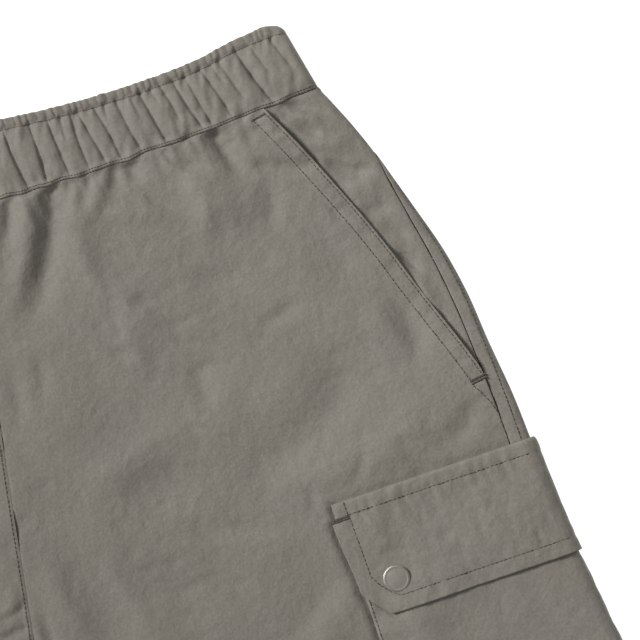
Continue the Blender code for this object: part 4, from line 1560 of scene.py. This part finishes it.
# ---- cargo pocket
@dataclass
class CargoSheet:
    """Flat measure of the cargo pocket: from the flap's upper inner corner, across and down.

    Its sheet is square to the side seam, lies on the leg and folds round the outer edge.
    """

    side: Side
    corner: tuple[float, float] = (174.8, 195.1)
    turn: float = math.radians(9.8)
    width: float = 200.0
    flap_drop: float = 68.0
    flap_cut: tuple[float, float] = (13.0, 15.6)
    flap_flare: float = 2.4

    @property
    def cut_start(self) -> float:
        """How far down the flap's side edges turn into its cut corners."""
        return self.flap_drop - self.flap_cut[1]

    def flare(self, down: Array) -> Array:
        """How far the flap's side edge stands out below its bartack."""
        return self.flap_flare * smooth_step(down, 8, 11) * smooth_step(down, 50, 14)

    def place(self, across: Array, down: Array) -> tuple[Array, Array, Array]:
        """From the pocket's flat measure to places across and down and the layer on the form."""
        cosine, sine = math.cos(self.turn), math.sin(self.turn)
        x = self.corner[0] + across * cosine + down * sine
        d = self.corner[1] - across * sine + down * cosine
        return FORM.wrapped(x, d)

    def unplace(self, across: Array, down: Array) -> Grid:
        """From places across and down on the upper sheet, short of the outline, to the flat measure."""
        cosine, sine = math.cos(self.turn), math.sin(self.turn)
        x, d = across - self.corner[0], down - self.corner[1]
        return x * cosine - d * sine, x * sine + d * cosine

    def surface(self, lift: Callable[[Array, Array], Array]) -> Surface:
        """Surface of a layer that stands off the leg by a lift, given in the flat measure.

        Args:
            lift: Height over the leg at (across, down) in the flat measure, mm.

        Returns:
            Function that gives points and normals.
        """

        def lay(across: Array, down: Array) -> Grid:
            """Points and normals at the flat measure's places."""
            across, down = np.broadcast_arrays(across, down)
            x, d, layer = self.place(across, down)
            return DRAPES[self.side].lay(x, d, layer, lift(across, down))

        return lay


@dataclass
class PocketPiece(CutPiece):
    """A piece of the cargo pocket, laid out in the flat measure of its sheet."""

    SLOT = "pocket_cloth"

    @property
    def sheet(self) -> CargoSheet:
        """The half's flat measure."""
        return CargoSheet(self.side)

    def lift(self, across: Array, down: Array) -> Array:
        """Height over the leg at places in the flat measure."""
        raise NotImplementedError

    def make_on_sheet(self, across: Array, down: Array, wardrobe: Wardrobe) -> None:
        """Makes the piece from a grid of places in the flat measure.

        Args:
            across: Places across, mm.
            down: Places down, mm.
            wardrobe: The finishes.
        """
        points, _ = self.sheet.surface(self.lift)(across, down)
        base, _ = self.sheet.surface(lambda a, d: np.zeros_like(a))(across, down)
        self.make(points, base, pairs(across, down), wardrobe.pocket)


@dataclass
class CargoPocket(PocketPiece):
    """Patch pocket on the thigh, over the side seam and round the outer edge."""

    stand_off: float = 1.7
    start: float = 8.0
    end: float = 215.0
    inset: float = 1.5
    turned_edge: float = 1.1
    corner_hollow: float = 1.5
    billow: float = 0.35
    crinkle: float = 0.14

    KIND = "cargo_pocket"
    RESTS_ON = "front"
    ROWS = (1.6, 7.6)

    def lift(self, across: Array, down: Array) -> Array:
        """The patch's thickness, sunk at its sewn edges and under the flap's corners, with folds."""
        to_side = np.minimum(across - self.inset, self.sheet.width - self.inset - across)
        to_edge = np.minimum(to_side, self.end - down)
        lift = self.stand_off - self.turned_edge * np.exp(-np.maximum(to_edge, 0) / 1.0)
        inside = smooth_step(to_side, 2, 26) * smooth_step(self.end - down, 4, 30)
        seed = 160 + self.side.value
        lift = lift + self.billow * inside * (1 + Ripple(26, 70, seed)(across, down))
        crinkle = self.crinkle * Ripple(8, 24, seed + 2, ridged=0.5)(across, down)
        lift += crinkle * smooth_step(to_side, 1, 10)
        inwards = np.minimum(across, self.sheet.width - across)
        lift -= self.corner_hollow * self.under_cut_corner(inwards, down)
        pucker = Pucker(0.22, 6, 7, 18, seed + 4)
        return lift + pucker(down, across - self.inset) + pucker(across, self.end - down)

    def under_cut_corner(self, inwards: Array, down: Array) -> Array:
        """Where the flap's cut corners press a hollow, from 0 to 1, deepest just under their edge.

        Args:
            inwards: Distance in from the nearer side, mm.
            down: Distance down from the flap's top, mm.

        Returns:
            Share of the hollow's depth.
        """
        run, fall = self.sheet.flap_cut
        length = math.hypot(run, fall)
        past_start = down - self.sheet.cut_start
        outside = (run * past_start - fall * inwards) / length
        along = (run * inwards + fall * past_start) / length
        ends = smooth_step(along, -3, 1) * smooth_step(along, length + 3, length - 1)
        return bell(outside + 0.5, 1.7) * ends

    def build(self, wardrobe: Wardrobe) -> None:
        """Builds the patch."""
        left, right = self.inset, self.sheet.width - self.inset
        sides = [(left, 0.5), (left + 2, 0.9), (left + 17, 1.0), (left + 26, 2.7)]
        sides += [(right - 26, 2.7), (right - 17, 1.0), (right - 2, 0.5), (right, 1)]
        drops = [(self.start, 2.4), (46, 2.0), (51, 0.9), (71, 0.9), (79, 2.7)]
        drops += [(self.end - 8, 1.5), (self.end - 2, 0.5), (self.end, 1)]
        self.make_on_sheet(*np.meshgrid(graded(sides), graded(drops)), wardrobe)

    def sew(self, sewing: Sewing) -> None:
        """Edge stitch down both sides and along the bottom, where a second row runs inside it."""
        surface = self.sheet.surface(self.lift)
        for step in self.ROWS:
            left, right = self.inset + step, self.sheet.width - self.inset - step
            low = self.end - step
            drop = np.linspace(self.start + 4, low, 60)
            bottom = pairs(np.linspace(left, right, 60), low)
            path = np.concatenate([pairs(left, drop), bottom, pairs(right, drop[::-1])])
            sewing.row(surface, path if step == self.ROWS[0] else path[58:122])


@dataclass
class PocketFlap(PocketPiece):
    """Flap with cut corners: sewn along its top, stitched round its edge, its lower edge free."""

    wall: float = 1.2
    stand_off: float = 3.3
    snap_across: float = 21.5
    snap_down: float = 50.0
    snap_dip: float = 0.8
    snap_rim: float = 0.3
    sewn_sink: float = 1.2
    free_rise: float = 0.85
    free_wave: float = 0.4
    fold_height: float = 0.20
    crinkle: float = 0.13
    stitch_groove: float = 0.18

    KIND = "pocket_flap"
    RESTS_ON = "cargo_pocket"
    TOP_ROW = 8.0
    SIDE_ROW = 7.7
    LOW_ROW = 59.4
    CORNER_ROW = ((8.3, 46.6), (18.9, 59.4))
    TUCKS = (
        Crease(((14.5, 38.0), (24.0, 34.5), (33.0, 40.0)), 2.4, -0.7),
        Crease(((30.0, 9.0), (28.0, 22.0), (25.0, 36.0)), 3.0, -0.45, fade=(0.1, 0.6)),
        Crease(((52.0, 9.0), (55.0, 24.0), (54.0, 44.0)), 3.6, -0.5, fade=(0.1, 0.6)),
        Crease(((82.0, 9.0), (86.0, 22.0), (84.0, 40.0)), 4.0, -0.4, fade=(0.1, 0.6)),
    )

    def side_limit(self, down: Array) -> Array:
        """How far in the flap's side edge lies: a slight flare below the bartack, then the cut corner."""
        run, fall = self.sheet.flap_cut
        cut = run * np.clip((down - self.sheet.cut_start) / fall, 0, 1)
        return cut - self.sheet.flare(down)

    def lift(self, across: Array, down: Array) -> Array:
        """The flap's height over the leg.

        The top edge is sewn down and the lower edge hangs in small waves. Puckers cross the top band
        every 5 to 11 mm, soft folds run down from it, and the cloth dips round both snaps.

        Args:
            across: Places across in the pocket's flat measure, mm.
            down: Places down in it, mm.

        Returns:
            Heights in mm.
        """
        seed = 180 + self.side.value
        lift = self.stand_off - self.sewn_sink * np.exp(-down / 1.1)
        free = smooth_step(down, 40, self.sheet.flap_drop)
        lift += free * (self.free_rise + self.free_wave * Ripple(24, 55, seed)(across))
        lift += Pucker(0.24, 5.5, 5, 11, seed + 1, slant=-0.2)(across, np.abs(down - self.TOP_ROW))
        lift += Pucker(0.12, 6, 6, 16, seed + 2)(across, np.abs(down - self.LOW_ROW))
        folds = self.fold_height * Ripple(13, 30, seed + 3)(across, down * 0.35)
        lift += folds * smooth_step(down, 6, 18) * (1 - 0.5 * free)
        lift += self.crinkle * Ripple(6, 18, seed + 5, ridged=0.5)(across, down)
        stitched = np.minimum(np.abs(down - self.TOP_ROW), np.abs(down - self.LOW_ROW))
        stitched = np.minimum(stitched, np.abs(across - self.SIDE_ROW) + 9 * (down > 46))
        lift -= self.stitch_groove * bell(stitched, 1.4)
        lift += sum(tuck(across, down) for tuck in self.TUCKS)
        for centre in (self.snap_across, self.sheet.width - self.snap_across):
            away = np.hypot(across - centre, down - self.snap_down)
            lift -= self.snap_dip * bell(away, 12.0) - self.snap_rim * bell(away, 17.0)
        return lift

    def build(self, wardrobe: Wardrobe) -> None:
        """Builds the flap: each row runs between its two side edges."""
        drop = self.sheet.flap_drop
        down = graded([(0, 0.4), (2, 1.1), (drop - 3, 0.7), (drop, 1)])[:, None]
        fine = graded([(0, 0.45), (2, 1.2), (self.sheet.width - 2, 0.45), (self.sheet.width, 1)])
        share = fine / self.sheet.width
        limit = self.side_limit(down)
        across = limit + (self.sheet.width - 2 * limit) * share
        self.make_on_sheet(across, np.broadcast_to(down, across.shape), wardrobe)

    def sew(self, sewing: Sewing) -> None:
        """Top row, the row inside the free edges, the corner's short row, and bartacks."""
        surface = self.sheet.surface(self.lift)
        width = self.sheet.width
        sewing.row(surface, ((7.0, self.TOP_ROW), (width - 7.0, self.TOP_ROW)))
        inner = [(self.SIDE_ROW, 10.2), *self.CORNER_ROW]
        mirrored = [(width - across, down) for across, down in inner[::-1]]
        sewing.row(surface, inner + mirrored)
        for edge, sign in ((0.0, 1), (width, -1)):
            sewing.row(surface, ((edge + sign * 7.0, 0.4), (edge + sign * 7.2, 8.0)))
            for down in (8.9, 10.0):
                sewing.bartack(surface, (edge - sign * 2.2, down), (edge + sign * 7.8, down - 0.2))


@dataclass
class SnapCap:
    """Cap of a press stud: a turned disc with a rolled rim round a shallow dome."""

    sheet: CargoSheet
    label: str
    across: float
    down: float
    stand_off: float = 3.45

    PROFILE = (  # radius, height over the flap
        (0.0, 1.18),
        (2.0, 1.14),
        (4.0, 1.06),
        (5.2, 0.98),
        (5.7, 0.94),
        (6.05, 0.96),
        (6.45, 1.03),
        (6.85, 1.00),
        (7.2, 0.84),
        (7.4, 0.75),
        (7.35, 0.2),
        (7.1, 0.0),
        (0.0, 0.0),
    )
    STEPS = 64

    @property
    def name(self) -> str:
        """Name of the piece and of its solid."""
        return f"snap_{self.label}_{self.sheet.side.label}"

    def build(self, wardrobe: Wardrobe) -> None:
        """Builds the cap: its half section turned round the flap's normal."""
        x, d, layer = self.sheet.place(np.array([self.across]), np.array([self.down]))
        base = FORM.point(self.sheet.side.value * x, d, layer)
        normal = FORM.normal(base)[0]
        centre = base[0] + self.stand_off * normal
        aside = np.cross(normal, (0.0, 1.0, 0.0))
        aside /= np.linalg.norm(aside)
        upward = np.cross(normal, aside)
        radius, height = np.array(self.PROFILE).T
        angle = np.arange(self.STEPS) * 2 * math.pi / self.STEPS
        ring = np.cos(angle)[:, None] * aside + np.sin(angle)[:, None] * upward
        points = centre + radius[1:-1, None, None] * ring + height[1:-1, None, None] * normal
        grid = GridMesh(points, points[..., :2], loops=(False, True))
        rows = len(points)
        poles = np.stack([centre + height[0] * normal, centre + height[-1] * normal])
        vertices = np.concatenate([points.reshape(-1, 3), poles])
        mesh = bpy.data.meshes.new(self.name)
        first = np.arange(self.STEPS)
        following = np.roll(first, -1)
        last = first + (rows - 1) * self.STEPS
        top = [(rows * self.STEPS, int(a), int(b)) for a, b in zip(first, following)]
        low = [(rows * self.STEPS + 1, int(b), int(a)) for a, b in zip(last, np.roll(last, -1))]
        mesh.from_pydata(FORM.to_world(vertices).tolist(), [], top + grid.corners().tolist() + low)
        mesh.shade_smooth()
        mesh.set_sharp_from_angle(angle=math.radians(50))
        face_outwards(mesh)
        item = add_object(self.name, mesh, wardrobe.pewter)
        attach(item, BODY)
        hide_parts(self.name)
        report(item)


def face_outwards(mesh: bpy.types.Mesh) -> None:
    """Turns a closed mesh's faces outwards, judged by the sign of its volume."""
    mesh.calc_loop_triangles()
    corners = np.empty(3 * len(mesh.loop_triangles), np.int32)
    mesh.loop_triangles.foreach_get("vertices", corners)
    places = np.empty(3 * len(mesh.vertices), np.float32)
    mesh.vertices.foreach_get("co", places)
    a, b, c = np.moveaxis(places.reshape(-1, 3)[corners.reshape(-1, 3)] - places[:3], 1, 0)
    if (a * np.cross(b, c)).sum() < 0:
        mesh.flip_normals()


# ---- waistband
@dataclass(frozen=True)
class Gather:
    """A crease of the waistband, from its upper to its lower end.

    Places across are shares of the band's half width and places up are shares of its height. The flank
    nearer the centre ends in a steep lip, `lip` mm wide.
    """

    upper: tuple[float, float]
    lower: tuple[float, float]
    depth: float
    width: float = 2.2
    bow: float = 0.0
    lip: float = 0.55

    BAND_HEIGHT = 48.0

    def __call__(self, across: Array, up: Array, half_width: Array) -> Array:
        """A pleat that laps over a little: a long slope, a short steep lip down to the bed, and a rise.

        Args:
            across: Places across, signed, mm.
            up: Shares of the band's height.
            half_width: Half the band's width at those heights, mm.

        Returns:
            Height that the crease takes away, mm, negative.
        """
        (x0, v0), (x1, v1) = self.upper, self.lower
        part = np.clip((v0 - up) / (v0 - v1), 0, 1)
        line = (x0 + (x1 - x0) * part) * half_width + self.bow * np.sin(math.pi * part)
        slope = (x1 - x0) * FORM.waist_half_width / max((v0 - v1) * self.BAND_HEIGHT, 1)
        aside = (across - line) / math.sqrt(1 + slope**2)
        ends = smooth_step(up, v1 - 0.10, v1 + 0.10) if v1 > 0.15 else np.ones_like(up)
        ends = ends * smooth_step(up, 0.93, 0.80)
        size = np.abs(aside)
        slope_side = 0.55 * np.exp(-size / (1.5 * self.width)) + 0.45 * np.exp(-size / self.lip)
        rise_side = np.exp(-size / (1.15 * self.width))
        return -self.depth * np.where(aside < 0, slope_side, rise_side) * ends


GATHERS = (  # seen on the left half
    Gather((0.030, 0.84), (0.046, 0.02), 2.3),
    Gather((0.078, 0.84), (0.090, 0.02), 2.0, bow=0.8),
    Gather((0.112, 0.80), (0.118, 0.45), 1.2, 1.7),
    Gather((0.143, 0.84), (0.180, 0.04), 2.6, 2.3, bow=-0.8),
    Gather((0.219, 0.84), (0.232, 0.01), 2.6, 2.4, bow=0.6),
    Gather((0.273, 0.84), (0.297, 0.02), 2.1, 2.0),
    Gather((0.311, 0.82), (0.311, 0.52), 1.2, 1.6),
    Gather((0.342, 0.84), (0.353, 0.03), 2.2, 2.2, bow=-0.7),
    Gather((0.364, 0.85), (0.402, 0.02), 2.4, 2.1),
    Gather((0.412, 0.84), (0.444, 0.02), 2.3, 2.3, bow=0.9),
    Gather((0.442, 0.83), (0.440, 0.66), 1.1, 1.5),
    Gather((0.478, 0.84), (0.500, 0.06), 2.3, 2.3, bow=-0.5),
    Gather((0.520, 0.84), (0.529, 0.50), 1.0, 1.6),
    Gather((0.550, 0.84), (0.572, 0.02), 2.7, 2.1),
    Gather((0.582, 0.82), (0.590, 0.62), 1.1, 1.5),
    Gather((0.611, 0.84), (0.627, 0.28), 1.8, 1.9, bow=0.6),
    Gather((0.651, 0.84), (0.677, 0.06), 2.6, 2.0, bow=-0.6),
    Gather((0.687, 0.84), (0.703, 0.04), 2.3, 2.0),
    Gather((0.735, 0.84), (0.760, 0.04), 2.2, 2.2, bow=0.8),
    Gather((0.768, 0.82), (0.778, 0.55), 1.1, 1.6),
    Gather((0.790, 0.83), (0.808, 0.28), 1.7, 1.9),
    Gather((0.845, 0.84), (0.878, 0.00), 2.8, 2.0, bow=-0.6),
    Gather((0.888, 0.83), (0.902, 0.45), 1.2, 1.8),
    Gather((0.948, 0.83), (0.964, 0.38), 1.4, 2.0),
)


@dataclass
class Waistband:
    """One ring of doubled cloth over elastic, gathered, with a header above a stitched line."""

    wall: float = 2.2
    header: float = 6.4
    front_columns: int = 320
    back_columns: int = 96
    arc_columns: int = 9
    crinkle: float = 0.25
    pinch: float = 0.35
    header_wave: float = 1.05
    header_notch: float = 0.5
    header_pitch: float = 4.4
    corner: float = 5.0
    corner_from: float = 0.88
    back_depth: float = 0.8
    lean: float = 0.05
    foot_reach: float = 0.27
    flat_height: float = 50.0
    fullness: float = 1.04

    NAME = "waistband"
    MIDDLE_ROW = 20
    HEIGHTS = SmoothCurve(  # share of the band's height, thickness of the whole band
        (
            (0.00, 6.7),
            (0.06, 7.4),
            (0.22, 8.2),
            (0.50, 8.7),
            (0.72, 8.3),
            (0.86, 7.4),
            (1.00, 7.2),
        )
    )

    def seam_share(self, across: Array) -> Array:
        """Share of the band's height at which the header is stitched off."""
        return 1 - self.header / (FORM.band_top(across) - FORM.waist_rise(across))

    def half_width(self, up: Array) -> Array:
        """Half the band's width at a share of its height."""
        return FORM.waist_half_width + (FORM.band_top_half_width - FORM.waist_half_width) * up

    def front_relief(self, across: Array, up: Array) -> Array:
        """Gathers, puckers at both sewn lines, the stitched pinch, and the header's short waves.

        Args:
            across: Places across, signed, mm.
            up: Shares of the band's height.

        Returns:
            Heights in mm.
        """
        half = self.half_width(up)
        seam = self.seam_share(across)
        mirrored = np.abs(across) * (1 + 0.012 * (across < 0)) + 1.5 * (across < 0)
        total = sum(gather(mirrored, up, half) for gather in GATHERS)
        crinkle = self.crinkle * Ripple(6, 18, 201, ridged=0.4)(across, up * 30)
        total += crinkle * smooth_step(up, 0.92, 0.80)
        height = FORM.band_top(across) - FORM.waist_rise(across)
        below = (seam - up) * height
        total += Pucker(0.32, 6.0, 4.0, 9.0, 210, slant=0.1)(across, below) * smooth_step(below, -1.2, 0.8)
        total += Pucker(0.45, 6.0, 4.5, 11.0, 220)(across, up * height) * smooth_step(up, 0.0, 0.04)
        total -= self.pinch * bell(below, 1.15)
        total += self.header_wave * (self.pleats(across, below) - 0.6) * smooth_step(-below, 0.1, 1.8)
        free = smooth_step(up * height, 0.5, 5.0)
        total = total * free + (FORM.seam_wave(across) + 0.1) * (1 - free)
        return total - 0.15 * np.exp(-up * height / 0.4)

    def pleats(self, across: Array, below: Array | float) -> Array:
        """Small pleats of the header: the size of a sine, with sharp beds and round crests.

        Args:
            across: Places across, mm.
            below: Distance below the header's line, mm, negative above it.

        Returns:
            Numbers from 0 in a bed to 1 on a crest.
        """
        drift = 1.3 * Ripple(14, 40, 230, waves=9)(across) - 0.2 * below
        size = 0.8 + 0.2 * Ripple(6, 17, 231, waves=9)(across)
        return np.abs(np.sin(math.pi * (across + drift) / self.header_pitch)) ** 0.6 * size

    def back_relief(self, across: Array, up: Array) -> Array:
        """Shallow hollows of the side that rests on the floor."""
        wave = Ripple(8, 15, 240, waves=24)(across + 9 * up)
        return self.back_depth * np.clip(0.5 * wave + 0.3, 0, 1) * smooth_step(up, 0.98, 0.80)

    def point(self, share: Array, angle: Array, up: Array, inset: Array) -> Array:
        """Point of the ring.

        The ring's section at each height is flat on both sides with an elliptic arc at each end.

        Args:
            share: Share of the half width, -1 to 1.
            angle: 90 degrees on the front, -90 on the back, and between them on the two arcs.
            up: Share of the band's height.
            inset: Distance inside the outer face, mm.

        Returns:
            Points in mm.
        """
        rolled = FORM.edge_roll * np.cos(angle)
        low = share * (FORM.waist_half_width - FORM.edge_roll) + rolled
        top_share = share - self.lean * np.sin(math.pi * share)
        high = top_share * (FORM.band_top_half_width - FORM.edge_roll) + rolled
        low_y = FORM.waist_rise(low) + FORM.seam_gap / 2 - self.foot_reach
        high_y = FORM.band_top(high)
        across = low + (high - low) * up - inset * np.cos(angle)
        near_top = np.clip((up - self.corner_from) / (1 - self.corner_from), 0, 1)
        rounding = self.corner * (1 - np.sqrt(1 - near_top**2))
        across = across - np.sign(share) * rounding * smooth_step(np.abs(share), 0.9, 1)
        middle = self.HEIGHTS(up) / 2
        facing = np.sin(angle)
        notch = (self.pleats(across, -3.0) - 1) * smooth_step(facing, -0.2, 0.6)
        upward = low_y + (high_y - low_y) * up + self.header_notch * notch * smooth_step(up, 0.9, 1)
        z = middle + (middle - inset) * facing
        z = z + self.front_relief(across, up) * smooth_step(facing, 0.3, 1)
        z = z + self.back_relief(across, up) * smooth_step(-facing, 0.3, 1)
        return np.stack(np.broadcast_arrays(across, -upward, z), axis=-1)

    def stations(self) -> Grid:
        """Shares and angles round the ring: front, an arc, back, and the other arc."""
        front = np.linspace(-1, 1, 2 * self.front_columns + 1)
        back = np.linspace(1, -1, 2 * self.back_columns + 1)
        arc = np.linspace(90, -90, self.arc_columns + 2)[1:-1]
        share = np.concatenate([front, np.ones(len(arc)), back, -np.ones(len(arc))])
        degrees = [np.full(len(front), 90.0), arc, np.full(len(back), -90.0), -180 - arc[::-1]]
        return share, np.radians(np.concatenate(degrees))

    def section(self) -> Grid:
        """Cross-section from the outer foot over the rounded top to the inner foot.

        Returns:
            Shares of the height and insets. The top is a half circle of the wall's thickness.
        """
        outer = graded([(0, 0.008), (0.04, 0.022), (0.78, 0.012), (0.98, 1)])
        turn = np.linspace(0, math.pi, 7)[1:-1]
        radius = self.wall / 2
        cap = 0.98 + 0.02 * np.sin(turn)
        inner = np.linspace(0.98, 0, 14)
        up = np.concatenate([outer, cap, inner])
        turned = radius * (1 - np.cos(turn))
        inset = np.concatenate([np.zeros(len(outer)), turned, np.full(len(inner), self.wall)])
        return up, inset

    def surface(self, across_share: Array, up: Array) -> Grid:
        """Points of the front's outer face, and normals from its slopes, for sewing.

        Shares past 1 run on round the end arc.
        """

        def face(share: Array, height: Array) -> Array:
            """Point of the outer face at a share that may lie past the flat part."""
            past = np.maximum(np.abs(share) - 1, 0) * np.sign(share)
            angle = math.pi / 2 - past * FORM.waist_half_width / FORM.edge_roll
            return self.point(np.clip(share, -1, 1), angle, height, 0.0)

        point = face(across_share, up)
        aside = face(across_share + 0.004, up) - face(across_share - 0.004, up)
        along = face(across_share, up + 0.015) - face(across_share, up - 0.015)
        normal = np.cross(along, aside)
        normal *= np.sign(normal[..., 2:])
        return point, normal / np.linalg.norm(normal, axis=-1, keepdims=True)

    def build(self, wardrobe: Wardrobe) -> None:
        """Builds the closed ring, named after its solid."""
        share, angle = self.stations()
        up, inset = self.section()
        points = self.point(share[None], angle[None], up[:, None], inset[:, None])
        around = lengths_along(points[self.MIDDLE_ROW])
        flat = pairs(around[None], up[:, None] * self.flat_height)
        item = GridMesh(points, flat, loops=(True, True), flip=True).build(self.NAME, wardrobe.band)
        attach(item, BODY)
        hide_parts(self.NAME)
        report(item)

    def sew(self, sewing: Sewing) -> None:
        """The header's line, and two rows just above the waist seam."""
        share = np.linspace(-1.014, 1.014, 700)
        across = share * (FORM.band_top_half_width - FORM.edge_roll)
        path = pairs(share, self.seam_share(across))
        sewing.row(self.surface, path, pitch=1.65, length=1.4, radius=0.2)
        for up in (0.014, 0.046):
            sewing.row(self.surface, pairs(share, up), pitch=1.75, length=1.5, radius=0.2)


# ---- studio
@dataclass(frozen=True)
class Softbox:
    """A square studio lamp that faces a point of the garment.

    Attributes:
        name: Its name.
        place: Where it hangs, metres.
        aim: What it faces, metres.
        size: Length of its side, metres.
        power: Watts.
        spread: Full angle of its beam, degrees.
    """

    name: str
    place: tuple[float, float, float]
    aim: tuple[float, float, float]
    size: float
    power: float
    spread: float

    def build(self) -> None:
        """Adds the lamp, turned so that its -Z axis points at its aim."""
        light = bpy.data.lights.new(self.name, "AREA")
        light.size = self.size
        light.energy = self.power
        light.spread = math.radians(self.spread)
        item = link_object(self.name, light)
        item.location = self.place
        away = np.array(self.place) - np.array(self.aim)
        flat = math.hypot(away[0], away[1])
        item.rotation_euler = (math.atan2(flat, away[2]), 0, math.atan2(away[0], -away[1]))


@dataclass
class Studio:
    """White floor, pale sky, one large lamp beyond the waist on the wearer's right, and the camera."""

    frame_width: float = 0.3552
    camera_height: float = 2.2
    subject_height: float = 0.008
    camera_turn: float = math.radians(-9.0)
    frame_centre: tuple[float, float] = (184.8, 92.8)
    sensor: float = 36.0
    floor_size: float = 8.0
    floor_drop: float = 0.0005
    floor_glow: float = 0.84
    sky: float = 0.36

    LAMP = Softbox("left_key", (-2.59, 1.94, 2.35), (0.75, 0.42, 0.0), 1.2, 9.7, spread=34.0)

    def build(self) -> None:
        """Builds the floor, the lamp, the sky and the camera."""
        self.build_floor()
        self.LAMP.build()
        world = bpy.data.worlds.new("studio")
        world.use_nodes = True
        graph = NodeGraph(world.node_tree)
        sky = graph.add("ShaderNodeBackground", in_Color=(1, 1, 1, 1), in_Strength=self.sky)
        graph.add("ShaderNodeOutputWorld", in_Surface=sky.outputs[0])
        bpy.context.scene.world = world
        bpy.context.scene.view_settings.view_transform = "Standard"
        self.build_camera()

    def build_floor(self) -> None:
        """A wide white sheet just under the garment, which glows as a light table does."""
        half = self.floor_size / 2
        corners = [(-half, -half), (half, -half), (half, half), (-half, half)]
        mesh = bpy.data.meshes.new("floor")
        mesh.from_pydata([(x, y, -self.floor_drop) for x, y in corners], [], [(0, 1, 2, 3)])
        white, graph = new_material("white sweep")
        graph.end_material(
            in_Base_Color=(0.92, 0.92, 0.92, 1),
            in_Roughness=0.9,
            in_Emission_Color=(1, 1, 1, 1),
            in_Emission_Strength=self.floor_glow,
        )
        floor = add_object("floor", mesh, white)

    def build_camera(self) -> None:
        """Looks straight down on the upper part of the wearer's left half, turned by camera_turn."""
        data = bpy.data.cameras.new("camera")
        data.sensor_width = self.sensor
        data.lens = self.sensor * (self.camera_height - self.subject_height) / self.frame_width
        data.clip_start = 0.05
        camera = link_object("camera", data)
        x, y, _ = FORM.to_world(np.array([*self.frame_centre, 0.0]))
        camera.location = (x, y, self.camera_height)
        camera.rotation_euler = (0, 0, self.camera_turn)
        bpy.context.scene.camera = camera


def build_half(side: Side, wardrobe: Wardrobe) -> None:
    """Builds all the pieces of one half and sews them.

    Args:
        side: Which half.
        wardrobe: The finishes.
    """
    panels = Sewing(f"panel_stitches_{side.label}", "panel_cloth", 300)
    pockets = Sewing(f"pocket_stitches_{side.label}", "pocket_cloth", 400)
    sheet = CargoSheet(side)
    back = BackPanel(side)
    front = FrontPanel(side)
    pocket = CargoPocket(side)
    flap = PocketFlap(side)
    back.build(wardrobe)
    HipFacing(side).build(wardrobe)
    front.build(wardrobe)
    pocket.build(wardrobe)
    flap.build(wardrobe)
    for label, across in (("front", flap.snap_across), ("back", sheet.width - flap.snap_across)):
        SnapCap(sheet, label, across, flap.snap_down).build(wardrobe)
    back.sew(panels)
    front.sew(panels)
    pocket.sew(pockets)
    flap.sew(pockets)
    panels.build(wardrobe.thread)
    pockets.build(wardrobe.thread)


def main() -> None:
    """Builds the garment, the studio and the camera."""
    wardrobe = Wardrobe()
    band = Waistband()
    band.build(wardrobe)
    sewing = Sewing("waistband_stitches", "waistband_cloth", 500)
    band.sew(sewing)
    sewing.build(wardrobe.thread)
    for side in Side:
        build_half(side, wardrobe)
    Studio().build()
    log.info("%d solids are dressed", len(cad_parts))


if __name__ == "__main__":
    main()
